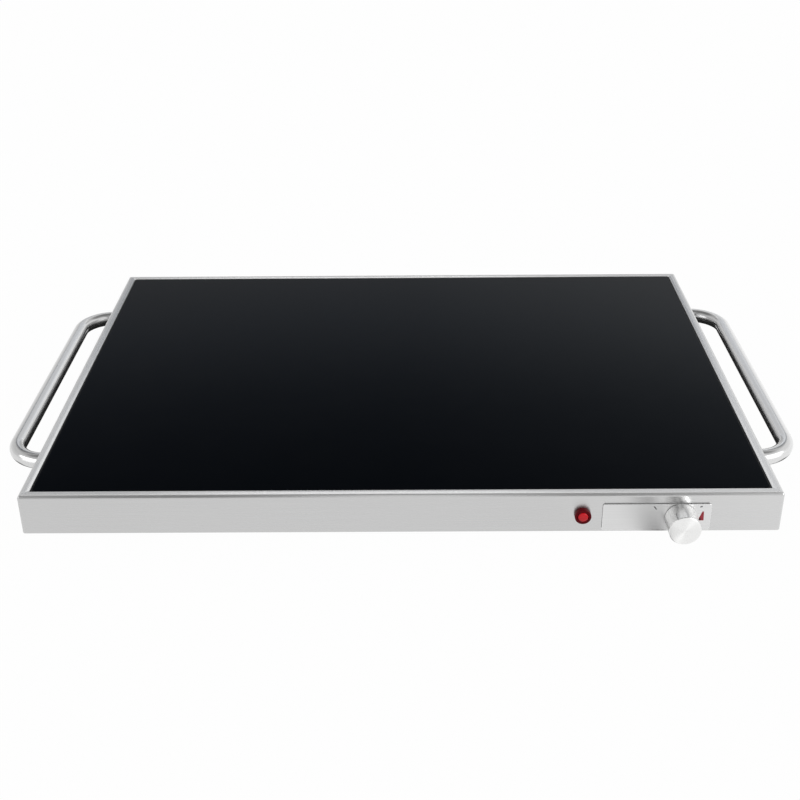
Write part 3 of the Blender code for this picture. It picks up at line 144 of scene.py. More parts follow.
# Pilot lamp
LAMP_X = 0.1433
LAMP_Z = 0.01605
LAMP_BEZEL_RADIUS = 0.0065
LAMP_BEZEL_FRONT = 0.0043
LAMP_BEZEL_EDGE = 0.0007
LAMP_BARREL_RADIUS = 0.005
LAMP_BARREL_BACK = -0.0087
LAMP_LENS_RADIUS = 0.004
LAMP_LENS_CROWN = 0.0053
LAMP_LENS_SHOULDER = 0.0041
LAMP_STEM_RADIUS = 0.0033
LAMP_STEM_BACK = -0.0064

# Feet, screws and gland
FOOT_X = 0.255
FOOT_Y = 0.180
FOOT_RADIUS = 0.011
FOOT_TAPER = 0.0015
FOOT_EDGE = 0.001
FOOT_RECESS_RADIUS = 0.0045
FOOT_RECESS_DEPTH = 0.0045
FOOT_HOLE = 0.0023
FOOT_SCREW_RADIUS = 0.002
FOOT_SCREW_HEAD = 0.0038
FOOT_SCREW_HEAD_HEIGHT = 0.0022
FOOT_SCREW_POINT = 0.003
BASE_BOTTOM = -0.0013
BASE_SCREW_X = 0.252
BASE_SCREW_Y = 0.215
BASE_SCREW_RADIUS = 0.00175
BASE_SCREW_HEAD = 0.003
BASE_SCREW_HEAD_HEIGHT = 0.002
BASE_SCREW_POINT = 0.004
BASE_SCREW_PLACES = [
    (side_x * BASE_SCREW_X, side_y * BASE_SCREW_Y) for side_y in (-1, 1) for side_x in (-1, 0, 1)
]
CROSS_WIDTH = 0.0007
CROSS_DEPTH = 0.0010
CROSS_SHARE = 1.25
# Where a screw head's dome starts, as a share of the head's height
HEAD_RIM_SHARE = 0.35
GLAND_X = 0.200
GLAND_Z = 0.0133
GLAND_BORE = 0.004
GLAND_BARREL = 0.006
GLAND_BARREL_LENGTH = 0.0097
GLAND_FLANGE = 0.009
GLAND_FLANGE_END = 0.0033
GLAND_CAP = 0.0075
GLAND_END = 0.0103
GLAND_EDGE = 0.0008
GLAND_RIBS = 24
GLAND_RIB_DEPTH = 0.0004

# Steps in a bend, or round a whole piece
BEND_STEPS = 8
CORNER_STEPS = 6
GLASS_CORNER_STEPS = 12
EDGE_STEPS = 4
LAMP_EDGE_STEPS = 5
KNOB_BACK_STEPS = 3
DOME_STEPS = 8
HEAD_STEPS = 5
RIB_STEPS = 4
ROD_STEPS = 24
SCREW_STEPS = 32
BAR_STEPS = 48
ROUND_STEPS = 64
FINE_STEPS = 128

# Camera
PICTURE_PIXELS = 800
FOCAL_PIXELS = 1235.6
SENSOR = 36
CAMERA_PLACE = (0.0069, -1.03415, 0.5638)
CAMERA_DIP = radians(28.10)
CAMERA_YAW = radians(0.44)
CAMERA_ROLL = radians(0.51)


def arc(centre, radius, start, end, steps=BEND_STEPS):
    """Points on an arc in a plane, from one angle to another, in quarter turns."""
    points = []
    for step in range(steps + 1):
        angle = (start + (end - start) * step / steps) * QUARTER_TURN
        points.append((centre[0] + radius * cos(angle), centre[1] + radius * sin(angle)))
    return points


def distances(points):
    """How far along a line of points each one lies, by its first two numbers."""
    reached = [0.0]
    for here, after in zip(points, points[1:]):
        reached.append(reached[-1] + hypot(after[0] - here[0], after[1] - here[1]))
    return reached


def ring_pairs(count):
    """Each spot of a ring with the one after it."""
    return [(spot, (spot + 1) % count) for spot in range(count)]


def new_shape():
    """An empty shape, and the layer that its grain goes into."""
    shape = bmesh.new()
    return shape, shape.loops.layers.uv.new("grain")


def add_face(shape, grain, corners, marks):
    """A face with its place along and across the grain at each corner."""
    face = shape.faces.new(corners)
    face.smooth = True
    for loop, mark in zip(face.loops, marks):
        loop[grain].uv = mark


def round_rectangle(half_x, half_y, radius, steps=CORNER_STEPS):
    """An outline with four round corners, with the side that each next stretch belongs to."""
    points = []
    corners = ((-1, -1, 2), (1, -1, 3), (1, 1, 0), (-1, 1, 1))
    for side, (side_x, side_y, turn) in enumerate(corners):
        centre = (side_x * (half_x - radius), side_y * (half_y - radius))
        for step, point in enumerate(arc(centre, radius, turn, turn + 1, steps)):
            owner = (side - 1) % 4 if step < steps / 2 else side
            points.append((point, owner))
    return points


def round_the_tray(section, closed=False):
    """Carry (inset, height, corner radius) points round the tray's four sides."""
    shape, grain = new_shape()
    directions = ((1, 0), (0, 1), (-1, 0), (0, -1))
    across = distances(section)
    rows = []
    for inset, height, radius in section:
        outline = round_rectangle(HALF_WIDTH - inset, HALF_DEPTH - inset, radius)
        z = FOOT_STANDOFF + height
        rows.append([
            (shape.verts.new((x, y + CENTRE_Y, z)), owner) for (x, y), owner in outline
        ])
    pairs = list(zip(rows, rows[1:], across, across[1:]))
    if closed:
        pairs.append((rows[-1], rows[0], across[-1], across[-1] + SEAL_LIP))
    for row, after, low, high in pairs:
        levels = (low, low, high, high)
        for spot, beside in ring_pairs(len(row)):
            along = Vector(directions[row[spot][1]])
            corners = (row[spot][0], row[beside][0], after[beside][0], after[spot][0])
            marks = [(corner.co.xy.dot(along), level) for corner, level in zip(corners, levels)]
            add_face(shape, grain, corners, marks)
    return shape


def frame_section():
    """The frame's outer skin from the bottom flange round to the ledge under the glass."""
    section = [(BOTTOM_FLANGE, 0, TIGHT_RADIUS)]
    bottom = arc((BOTTOM_BEND, BOTTOM_BEND), BOTTOM_BEND, 3, 2)
    rim_outer = arc((RIM_BEND, BODY_HEIGHT - RIM_BEND), RIM_BEND, 2, 1)
    for inset, height in bottom + rim_outer:
        section.append((inset, height, max(CORNER_RADIUS - inset, TIGHT_RADIUS)))
    for step in range(BEND_STEPS + 1):
        share = step / BEND_STEPS
        inset = RIM_SLOPE_START + (RIM_SLOPE_END - RIM_SLOPE_START) * share
        height = BODY_HEIGHT - RIM_DROP * share**RIM_DROP_POWER
        radius = TIGHT_RADIUS + (OPENING_RADIUS - TIGHT_RADIUS) * inset / RIM_WIDTH
        section.append((inset, height, radius))
    fold = (RIM_WIDTH - RIM_INNER_BEND, BODY_HEIGHT - RIM_DROP - RIM_INNER_BEND)
    rim_inner = arc(fold, RIM_INNER_BEND, RIM_INNER_START, 0)
    ledge_centre = (RIM_WIDTH + LEDGE_BEND, LEDGE_TOP + LEDGE_BEND)
    ledge = arc(ledge_centre, LEDGE_BEND, 2, 3, BEND_STEPS // 2)
    for inset, height in rim_inner + ledge + [(LEDGE_END, LEDGE_TOP)]:
        section.append((inset, height, OPENING_RADIUS))
    return section


def join_rings(shape, grain, rings, reached, radii, lengthwise=False):
    """Faces between each ring of points and the next, less the corners that fall together."""
    for number, (ring, after) in enumerate(zip(rings, rings[1:])):
        low, high = reached[number:number + 2]
        for step, beside in ring_pairs(len(ring)):
            near = FULL_TURN * radii[number] * step / len(ring)
            far = FULL_TURN * radii[number] * (step + 1) / len(ring)
            corners = (ring[step], ring[beside], after[beside], after[step])
            marks = [(near, low), (far, low), (far, high), (near, high)]
            if lengthwise:
                marks = [(along, around) for around, along in marks]
            kept = [spot for spot in range(4) if corners[spot] not in corners[:spot]]
            if len(kept) > 2:
                add_face(
                    shape, grain, [corners[spot] for spot in kept], [marks[spot] for spot in kept]
                )


def turned(profile, steps=ROUND_STEPS, ring=False, radius_at=None):
    """Turn (radius, height) points about Z. A ring's profile closes on itself."""
    shape, grain = new_shape()
    points = list(profile)
    if ring:
        points.append(points[0])
    rows = []
    for radius, height in profile:
        if radius < WELD:
            rows.append([shape.verts.new((0, 0, height))] * steps)
            continue
        row = []
        for step in range(steps):
            angle = FULL_TURN * step / steps
            reach = radius if radius_at is None else radius_at(radius, height, angle)
            row.append(shape.verts.new((reach * cos(angle), reach * sin(angle), height)))
        rows.append(row)
    if ring:
        rows.append(rows[0])
    radii = [max(here[0], after[0]) for here, after in zip(points, points[1:])]
    join_rings(shape, grain, rows, distances(points), radii)
    bmesh.ops.recalc_face_normals(shape, faces=shape.faces)
    return shape


def slab(half_x, half_y, corner, low, high, edge, steps=CORNER_STEPS):
    """A flat piece with round corners and softened edges, its grain along X."""
    shape, grain = new_shape()
    under = arc((edge, low + edge), edge, 3, 2, steps // 2)
    over = arc((edge, high - edge), edge, 2, 1, steps // 2)
    rows = []
    for inset, height in under + over:
        outline = round_rectangle(half_x - inset, half_y - inset, corner - inset, steps)
        rows.append([shape.verts.new((x, y, height)) for (x, y), owner in outline])
    for row, after in zip(rows, rows[1:]):
        for spot, beside in ring_pairs(len(row)):
            corners = (row[spot], row[beside], after[beside], after[spot])
            add_face(shape, grain, corners, [(v.co.x, v.co.y + v.co.z) for v in corners])
    add_face(shape, grain, rows[-1], [(v.co.x, v.co.y) for v in rows[-1]])
    bottom = list(reversed(rows[0]))
    add_face(shape, grain, bottom, [(v.co.x, v.co.y) for v in bottom])
    return shape


def block(size, middle):
    """A plain block, for cutting."""
    shape = new_shape()[0]
    bmesh.ops.create_cube(shape, size=1)
    bmesh.ops.scale(shape, vec=size, verts=shape.verts)
    bmesh.ops.translate(shape, vec=middle, verts=shape.verts)
    return shape


def rod(radius, start, end):
    return turned([(0, start), (radius, start), (radius, end), (0, end)], ROD_STEPS)


def moved(shape, matrix):
    bmesh.ops.transform(shape, matrix=matrix, verts=shape.verts)
    return shape


def merged(shapes):
    """Several closed shapes as one mesh of separate islands."""
    whole = new_shape()[0]
    for shape in shapes:
        part = bpy.data.meshes.new("part")
        shape.to_mesh(part)
        shape.free()
        whole.from_mesh(part)
        bpy.data.meshes.remove(part)
    return whole


def on_front(x, z):
    """Turns a shape's own Z out of the front face at that place."""
    place = Matrix.Translation((x, FRONT_Y, FOOT_STANDOFF + z))
    return place @ Matrix.Rotation(QUARTER_TURN, 4, "X")


def on_back(x, z):
    place = Matrix.Translation((x, BACK_Y, FOOT_STANDOFF + z))
    return place @ Matrix.Rotation(pi, 4, "Z") @ Matrix.Rotation(QUARTER_TURN, 4, "X")


def on_tray(x, y, z=0):
    return Matrix.Translation((x, CENTRE_Y + y, FOOT_STANDOFF + z))


def add_object(name, data):
    obj = bpy.data.objects.new(name, data)
    bpy.context.scene.collection.objects.link(obj)
    return obj


def finished_mesh(obj):
    """The object's mesh with its modifiers applied."""
    bpy.context.view_layer.update()
    scene_state = bpy.context.evaluated_depsgraph_get()
    return bpy.data.meshes.new_from_object(obj.evaluated_get(scene_state))


def cut_away(mesh, cutter_shape, inner=None):
    """The mesh less the cutter. The cut faces take the inner material where one is given."""
    cutter_mesh = bpy.data.meshes.new("cutter")
    cutter_shape.to_mesh(cutter_mesh)
    cutter_shape.free()
    if inner is not None:
        cutter_mesh.materials.append(inner)
    whole = add_object("whole", mesh)
    cutter = add_object("cutter", cutter_mesh)
    change = whole.modifiers.new("cut", "BOOLEAN")
    change.operation = "DIFFERENCE"
    change.solver = "EXACT"
    change.object = cutter
    change.material_mode = "TRANSFER"
    result = finished_mesh(whole)
    for obj in (whole, cutter):
        bpy.data.objects.remove(obj, do_unlink=True)
    return result


def as_mesh(shape, material):
    mesh = bpy.data.meshes.new("shape")
    shape.to_mesh(mesh)
    shape.free()
    mesh.materials.append(material)
    return mesh


def show(name, mesh, cad_node, body="tray", even=False):
    """Show a finished mesh as the looks of a CAD node, riding on its body."""
    mesh.name = name
    for polygon in mesh.polygons:
        polygon.use_smooth = True
    mesh.set_sharp_from_angle(angle=SHARP_ANGLE)
    obj = add_object(name, mesh)
    if even:
        normals = obj.modifiers.new("even_normals", "WEIGHTED_NORMAL")
        normals.keep_sharp = True
    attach(obj, body)
    if cad_node:
        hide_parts(cad_node)


# Noise, and the middle part of its range that a pattern spreads out
NOISE_ROUGHNESS = 0.6
NOISE_LOW = 0.3
NOISE_HIGH = 0.7
BRUSHED_DETAIL = 4.0
SMOOTH_DETAIL = 2.0
# A quarter turn, as the shader counts it: the shine spreads across the grain
ACROSS_GRAIN = 0.25


def new_material(name):
    """A new material, its node tree and its Principled shader."""
    material = bpy.data.materials.new(name)
    material.use_nodes = True
    tree = material.node_tree
    return material, tree, tree.nodes["Principled BSDF"]


def node(tree, kind, **values):
    """A new node with its properties set."""
    made = tree.nodes.new(kind)
    for name, value in values.items():
        setattr(made, name, value)
    return made


def set_inputs(made, **values):
    """Set a node's input values. An underscore in a name stands for a space."""
    for name, value in values.items():
        made.inputs[name.replace("_", " ")].default_value = value


def triple(value):
    """A number three times over. Three numbers stay as they are."""
    return value if isinstance(value, tuple) else (value, value, value)


def maths(tree, operation, first, second=None, clamp=False):
    """One or two values through a Math node. Each is a number or a node's output."""
    made = node(tree, "ShaderNodeMath", operation=operation, use_clamp=clamp)
    for socket, value in zip(made.inputs, (first, second)):
        if value is None:
            continue
        if isinstance(value, (int, float)):
            socket.default_value = value
        else:
            tree.links.new(value, socket)
    return made.outputs[0]


def grain_coordinates(tree, scale, along_grain=False):
    """Stretched coordinates: the piece's own grain, or its place in its own body."""
    if along_grain:
        source = node(tree, "ShaderNodeUVMap", uv_map="grain").outputs["UV"]
    else:
        source = node(tree, "ShaderNodeTexCoord").outputs["Object"]
    stretch = node(tree, "ShaderNodeMapping")
    set_inputs(stretch, Scale=triple(scale))
    tree.links.new(source, stretch.inputs["Vector"])
    return stretch.outputs["Vector"]


def noise(tree, vector, detail):
    made = node(tree, "ShaderNodeTexNoise")
    set_inputs(made, Scale=1.0, Detail=detail, Roughness=NOISE_ROUGHNESS)
    tree.links.new(vector, made.inputs["Vector"])
    return made.outputs["Fac"]


def spread(tree, value, low, high, start=NOISE_LOW, end=NOISE_HIGH):
    """Carry a value from the range start to end over to the range low to high."""
    made = node(tree, "ShaderNodeMapRange")
    tree.links.new(value, made.inputs["Value"])
    set_inputs(made, From_Min=start, From_Max=end, To_Min=low, To_Max=high)
    return made.outputs["Result"]


def blend(tree, factor, first, second):
    """Mix two colours. Each is a tone, three channels or a node's output."""
    mix = node(tree, "ShaderNodeMix", data_type="RGBA")
    tree.links.new(factor, mix.inputs["Factor"])
    sockets = [socket for socket in mix.inputs if socket.type == "RGBA"]
    for socket, colour in zip(sockets, (first, second)):
        if isinstance(colour, bpy.types.NodeSocket):
            tree.links.new(colour, socket)
        else:
            socket.default_value = (*triple(colour), 1)
    return [socket for socket in mix.outputs if socket.type == "RGBA"][0]


def shades(colour, change):
    """A darker and a lighter shade of a colour."""
    return [
        tuple(min(channel * (1 + way * change), 1) for channel in triple(colour)) for way in (-1, 1)
    ]


def surface(name, colour, roughness, scale=900, change=0.08, rough_change=0.06, metallic=0.0,
            bump=0.0, detail=3.0, along_grain=False, **constants):
    """A material whose tone, roughness and relief follow a noise. The bump is in metres."""
    material, tree, shader = new_material(name)
    pattern = noise(tree, grain_coordinates(tree, scale, along_grain), detail)
    tone = blend(tree, spread(tree, pattern, 0, 1), *shades(colour, change))
    tree.links.new(tone, shader.inputs["Base Color"])
    rough = spread(tree, pattern, roughness - rough_change, roughness + rough_change)
    tree.links.new(rough, shader.inputs["Roughness"])
    set_inputs(shader, Metallic=metallic, **constants)
    if bump:
        relief = node(tree, "ShaderNodeBump")
        set_inputs(relief, Strength=1.0, Distance=bump)
        tree.links.new(pattern, relief.inputs["Height"])
        tree.links.new(relief.outputs["Normal"], shader.inputs["Normal"])
    return material


def brushed(name, colour, roughness, stretch, grain, change=0.05, rough_change=0.05):
    """Brushed metal: fine lines along the grain that widen its shine across them."""
    material = surface(
        name, colour, roughness, (*grain, 1), change, rough_change, metallic=1.0,
        detail=BRUSHED_DETAIL, along_grain=True, Anisotropic=stretch,
        Anisotropic_Rotation=ACROSS_GRAIN,
    )
    tree = material.node_tree
    way = node(tree, "ShaderNodeTangent", direction_type="UV_MAP", uv_map="grain")
    tree.links.new(way.outputs["Tangent"], tree.nodes["Principled BSDF"].inputs["Tangent"])
    return material


# Brushed metals
ZINC_TONE = (0.66, 0.66, 0.63)
FRAME_STEEL = brushed("frame_steel", 0.605, 0.28, 0.80, (7, 2600), change=0.04, rough_change=0.03)
PLATE_STEEL = brushed("plate_steel", 0.70, 0.40, 0.05, (9, 3200), change=0.06)
BRIGHT_EDGE = brushed("bright_edge", 0.90, 0.12, 0.0, (9, 3200), change=0.03)
HANDLE_STEEL = brushed("handle_steel", 0.68, 0.19, 0.10, (9, 1800))
SPUN = brushed("spun_aluminium", (0.83, 0.83, 0.825), 0.30, 0.80, (5, 3000), change=0.04)
ZINC_TURNED = brushed("zinc_turned", ZINC_TONE, 0.34, 0.5, (3, 2500), change=0.08)
# The plate's bevels face less than fully forwards (-1) and not sideways (0)
FACING_FRONT = -0.97
FACING_SIDE = -0.1

# Other metals
ZINC = surface("zinc_plate", ZINC_TONE, 0.34, scale=1500, change=0.10, metallic=1.0)
GALVANISED = surface(
    "galvanised_sheet", (0.50, 0.51, 0.52), 0.42, scale=160, change=0.14, rough_change=0.10,
    metallic=1.0, detail=1.0,
)
ALUMINIUM = surface(
    "mill_aluminium", (0.76, 0.76, 0.77), 0.38, scale=(12, 1500, 1500), change=0.06, metallic=1.0
)
BRASS = surface(
    "turned_brass", (0.72, 0.55, 0.25), 0.30, scale=(300, 2600, 300), change=0.08, metallic=1.0
)
COPPER = surface("drawn_copper", (0.72, 0.38, 0.24), 0.28, change=0.10, metallic=1.0)

# Rubber, plastic and ink
SOFT_BLACK = surface(
    "black_gasket", (0.014, 0.014, 0.015), 0.62, scale=1800, change=0.25, bump=0.00003
)
FOOT_RUBBER = surface(
    "foot_rubber", (0.024, 0.024, 0.025), 0.70, scale=1400, change=0.25, bump=0.00006
)
BLACK_PLASTIC = surface(
    "black_moulding", (0.022, 0.022, 0.024), 0.42, scale=2200, change=0.15, bump=0.00004
)
LAMP_RED = surface(
    "lamp_body", (0.100, 0.001, 0.004), 0.26, change=0.15, Specular_IOR_Level=0.08
)
PHENOLIC = surface("dark_phenolic", (0.055, 0.037, 0.028), 0.42, change=0.20, bump=0.00004)
BROWN_WIRE = surface("brown_insulation", (0.18, 0.08, 0.035), 0.48, change=0.12, bump=0.00003)
BLUE_WIRE = surface("blue_insulation", (0.035, 0.11, 0.40), 0.48, change=0.12, bump=0.00003)
GREEN_WIRE = surface("green_insulation", (0.09, 0.34, 0.09), 0.48, change=0.12, bump=0.00003)
BLACK_INK = surface("black_ink", (0.012, 0.012, 0.013), 0.55, scale=2500, change=0.20)
GREY_INK = surface("grey_ink", (0.19, 0.19, 0.20), 0.55, scale=2500, change=0.15)
RED_INK = surface("red_ink", (0.36, 0.020, 0.035), 0.50, scale=2500, change=0.15)
DARK_FILL = surface("pointer_fill", 0.50, 0.55, scale=2500, change=0.20)

# Minerals
MICA = surface("mica_sheet", (0.40, 0.34, 0.24), 0.50, scale=260, change=0.22, bump=0.00006)
WOOL = surface(
    "mineral_wool", (0.76, 0.75, 0.70), 0.92, scale=700, change=0.12, bump=0.0004, detail=6.0
)
CERAMIC = surface("glazed_ceramic", (0.80, 0.78, 0.73), 0.34, scale=700, change=0.04, bump=0.00003)

# Lens of the pilot lamp
LENS_FRONT = (0.60, 0.006, 0.014)
LENS_EDGE = (0.34, 0.003, 0.008)
LENS_EDGE_BLEND = 0.35
LENS_CHANGE = 0.04
LENS_GRAIN = 700
LENS_ROUGHNESS = (0.10, 0.18)
LENS_SPECULAR = 0.3

# Glass, and the fine dots printed on it
GLASS_TONE = (0.0006, 0.0010, 0.0017)
GLASS_CLOUDS = 30
GLASS_ROUGHNESS = (0.06, 0.09)
GLASS_IOR = 1.5
GLASS_SPECULAR = 0.08
GLASS_TINT = (0.74, 0.86, 1.0)
DOT_TONE = (0.0028, 0.0038, 0.0056)
DOT_ROUGHNESS = 0.08
DOT_PITCH = 0.0028
DOT_INNER = 0.20
DOT_OUTER = 0.26
HALF_PITCH = 0.5


def lens_material():
    """Red moulding, darker where it is seen edge on."""
    material, tree, shader = new_material("lamp_lens")
    pattern = noise(tree, grain_coordinates(tree, LENS_GRAIN), SMOOTH_DETAIL)
    facing = node(tree, "ShaderNodeLayerWeight")
    set_inputs(facing, Blend=LENS_EDGE_BLEND)
    change = spread(tree, pattern, -LENS_CHANGE, LENS_CHANGE)
    depth = maths(tree, "ADD", facing.outputs["Facing"], change, clamp=True)
    tree.links.new(blend(tree, depth, LENS_FRONT, LENS_EDGE), shader.inputs["Base Color"])
    tree.links.new(spread(tree, pattern, *LENS_ROUGHNESS), shader.inputs["Roughness"])
    set_inputs(shader, Specular_IOR_Level=LENS_SPECULAR)
    return material


def dot_distance(tree, coordinates, shift):
    """How far a point is from the nearest dot of a square grid, as a share of the pitch."""
    steps = (
        ("ADD", (shift, shift, 0)), ("FRACTION", None), ("SUBTRACT", (HALF_PITCH, HALF_PITCH, 0)),
        ("MULTIPLY", (1, 1, 0)), ("LENGTH", None),
    )
    value = coordinates
    for operation, operand in steps:
        made = node(tree, "ShaderNodeVectorMath", operation=operation)
        tree.links.new(value, made.inputs[0])
        if operand is not None:
            made.inputs[1].default_value = operand
        value = made.outputs[0]
    return made.outputs["Value"]


def glass_material():
    """Black glass with a faint staggered print of fine dots."""
    material, tree, shader = new_material("black_glass")
    place = grain_coordinates(tree, (1 / DOT_PITCH, 1 / DOT_PITCH, 0))
    even_rows = dot_distance(tree, place, 0)
    nearest = maths(tree, "MINIMUM", even_rows, dot_distance(tree, place, HALF_PITCH))
    dots = spread(tree, nearest, 1, 0, DOT_INNER, DOT_OUTER)
    tree.links.new(blend(tree, dots, GLASS_TONE, DOT_TONE), shader.inputs["Base Color"])
    clouds = noise(tree, grain_coordinates(tree, GLASS_CLOUDS), SMOOTH_DETAIL)
    print_rough = maths(tree, "MULTIPLY", dots, DOT_ROUGHNESS)
    rough = maths(tree, "ADD", spread(tree, clouds, *GLASS_ROUGHNESS), print_rough)
    tree.links.new(rough, shader.inputs["Roughness"])
    set_inputs(shader, IOR=GLASS_IOR, Specular_IOR_Level=GLASS_SPECULAR)
    set_inputs(shader, Specular_Tint=(*GLASS_TINT, 1.0))
    return material


LENS = lens_material()
BLACK_GLASS = glass_material()


def screw(radius, length, head, head_height):
    """A screw with a domed head below 0 and a cross recess, its shank upwards."""
    dome = []
    for step in range(HEAD_STEPS):
        angle = step / HEAD_STEPS * QUARTER_TURN
        drop = HEAD_RIM_SHARE + (1 - HEAD_RIM_SHARE) * sin(angle)
        dome.append((head * cos(angle), -head_height * drop))
    profile = [(0, length), (radius, length), (radius, 0), (head, 0)] + dome + [(0, -head_height)]
    mesh = as_mesh(turned(profile, SCREW_STEPS), ZINC_TURNED)
    reach = head * CROSS_SHARE
    for size in ((reach, CROSS_WIDTH), (CROSS_WIDTH, reach)):
        mesh = cut_away(mesh, block((*size, 2 * CROSS_DEPTH), (0, 0, -head_height)))
    return mesh


def placed(mesh, matrix):
    """A copy of the mesh in its place."""
    copy = mesh.copy()
    copy.transform(matrix)
    return copy


def build_frame():
    obj = add_object("skin", as_mesh(round_the_tray(frame_section()), FRAME_STEEL))
    thickness = obj.modifiers.new("thickness", "SOLIDIFY")
    thickness.thickness = SHEET
    thickness.offset = -1
    thickness.use_even_offset = True
    mesh = finished_mesh(obj)
    bpy.data.objects.remove(obj, do_unlink=True)
    through = 3 * SHEET
    holes = [
        moved(rod(LAMP_BARREL_RADIUS + SEAT_GAP, -through, through), on_front(LAMP_X, LAMP_Z)),
        moved(rod(BUSH_RADIUS + SEAT_GAP, -through, through), on_front(KNOB_X, KNOB_Z)),
        moved(rod(GLAND_BARREL + SEAT_GAP, -through, through), on_back(GLAND_X, GLAND_Z)),
    ]
    for place in BASE_SCREW_PLACES:
        hole = rod(BASE_SCREW_RADIUS + SEAT_GAP, -through, through)
        holes.append(moved(hole, on_tray(*place)))
    for leg_y in (HANDLE_FRONT_LEG, HANDLE_BACK_LEG):
        for side_x in (-1, 1):
            hole = rod(HANDLE_SCREW_HOLE, -through, through)
            leg = on_tray(side_x * HALF_WIDTH, leg_y, HANDLE_Z)
            holes.append(moved(hole, leg @ Matrix.Rotation(QUARTER_TURN, 4, "Y")))
    mesh = cut_away(mesh, merged(holes))
    show("frame_skin", mesh, "top_frame", even=True)


def build_glass():
    low = GLASS_TOP - GLASS_THICKNESS
    shape = slab(
        HALF_WIDTH - GLASS_INSET, HALF_DEPTH - GLASS_INSET, GLASS_CORNER, low, GLASS_TOP,
        GLASS_EDGE, GLASS_CORNER_STEPS,
    )
    glass = as_mesh(moved(shape, on_tray(0, 0)), BLACK_GLASS)
    show("glass_plate", glass, "glass_top", even=True)
    pad = LEDGE_TOP + SEAT_GAP
    section = [
        (SEAL_INSET + SEAL_PAD_WIDTH, pad, SEAL_INNER_CORNER),
        (SEAL_INSET + SEAL_LIP, pad, SEAL_CORNER),
        (SEAL_INSET, pad + SEAL_LIP, SEAL_CORNER),
        (SEAL_INSET, SEAL_TOP, SEAL_CORNER),
        (SEAL_INSET + SEAL_LIP, SEAL_TOP, SEAL_INNER_CORNER),
        (SEAL_INSET + SEAL_LIP, pad + SEAL_THICKNESS, SEAL_INNER_CORNER),
        (SEAL_INSET + SEAL_PAD_WIDTH, pad + SEAL_THICKNESS, SEAL_INNER_CORNER),
    ]
    gasket = as_mesh(round_the_tray(section, closed=True), SOFT_BLACK)
    show("gasket", gasket, "glass_seal")


def handle_path(side):
    """The centre line of a handle, seen from above."""
    wall = HALF_WIDTH + SEAT_GAP
    bend_x = HALF_WIDTH + HANDLE_REACH - HANDLE_BEND
    near = HANDLE_FRONT_LEG
    far = HANDLE_BACK_LEG
    points = [(wall, near), (wall + HANDLE_EDGE, near)]
    points += arc((bend_x, near + HANDLE_BEND), HANDLE_BEND, -1, 0, 3 * BEND_STEPS)
    points += arc((bend_x, far - HANDLE_BEND), HANDLE_BEND, 0, 1, 3 * BEND_STEPS)
    points += [(wall + HANDLE_EDGE, far), (wall, far)]
    return [Vector((side * x, y)) for x, y in points]


def handle_shape(side):
    """A round bar swept along the handle's line, with softened ends."""
    shape, grain = new_shape()
    path = handle_path(side)
    rows = []
    for number, point in enumerate(path):
        before = path[max(number - 1, 0)]
        after = path[min(number + 1, len(path) - 1)]
        way = (after - before).normalized()
        across = Vector((way.y, -way.x))
        ends = number in (0, len(path) - 1)
        radius = HANDLE_RADIUS - HANDLE_EDGE if ends else HANDLE_RADIUS
        row = []
        for step in range(BAR_STEPS):
            angle = FULL_TURN * step / BAR_STEPS
            offset = across * (radius * cos(angle))
            z = FOOT_STANDOFF + HANDLE_Z + radius * sin(angle)
            row.append(shape.verts.new((point.x + offset.x, point.y + offset.y + CENTRE_Y, z)))
        rows.append(row)
    radii = [HANDLE_RADIUS] * len(path)
    join_rings(shape, grain, rows, distances(path), radii, lengthwise=True)
    for row in (rows[0], rows[-1]):
        add_face(shape, grain, row, [(v.co.x, v.co.z) for v in row])
    bmesh.ops.recalc_face_normals(shape, faces=shape.faces)
    return shape


def build_handles():
    for name, side in (("left", -1), ("right", 1)):
        mesh = as_mesh(handle_shape(side), HANDLE_STEEL)
        reach = HALF_WIDTH + SEAT_GAP
        bores = []
        for leg_y in (HANDLE_FRONT_LEG, HANDLE_BACK_LEG):
            bore = rod(HANDLE_SCREW_HOLE, -SHEET, HANDLE_BORE_DEPTH)
            turn = Matrix.Rotation(side * QUARTER_TURN, 4, "Y")
            bores.append(moved(bore, on_tray(side * reach, leg_y, HANDLE_Z) @ turn))
        mesh = cut_away(mesh, merged(bores))
        show(name + "_bar", mesh, name + "_handle", even=True)


def printed(name, outline, ink, thickness=INK):
    """A thin mark printed on the control plate."""
    shape, grain = new_shape()
    low = [shape.verts.new((x, z, PLATE_FRONT)) for x, z in outline]
    high = [shape.verts.new((x, z, PLATE_FRONT + thickness)) for x, z in outline]
    add_face(shape, grain, high, [(v.co.x, v.co.y) for v in high])
    add_face(shape, grain, list(reversed(low)), [(v.co.x, v.co.y) for v in low])
    for spot, beside in ring_pairs(len(low)):
        corners = (low[spot], low[beside], high[beside], high[spot])
        add_face(shape, grain, corners, [(v.co.x, v.co.y) for v in corners])
    bmesh.ops.recalc_face_normals(shape, faces=shape.faces)
    show(name, as_mesh(moved(shape, on_front(KNOB_X, KNOB_Z)), ink), None)


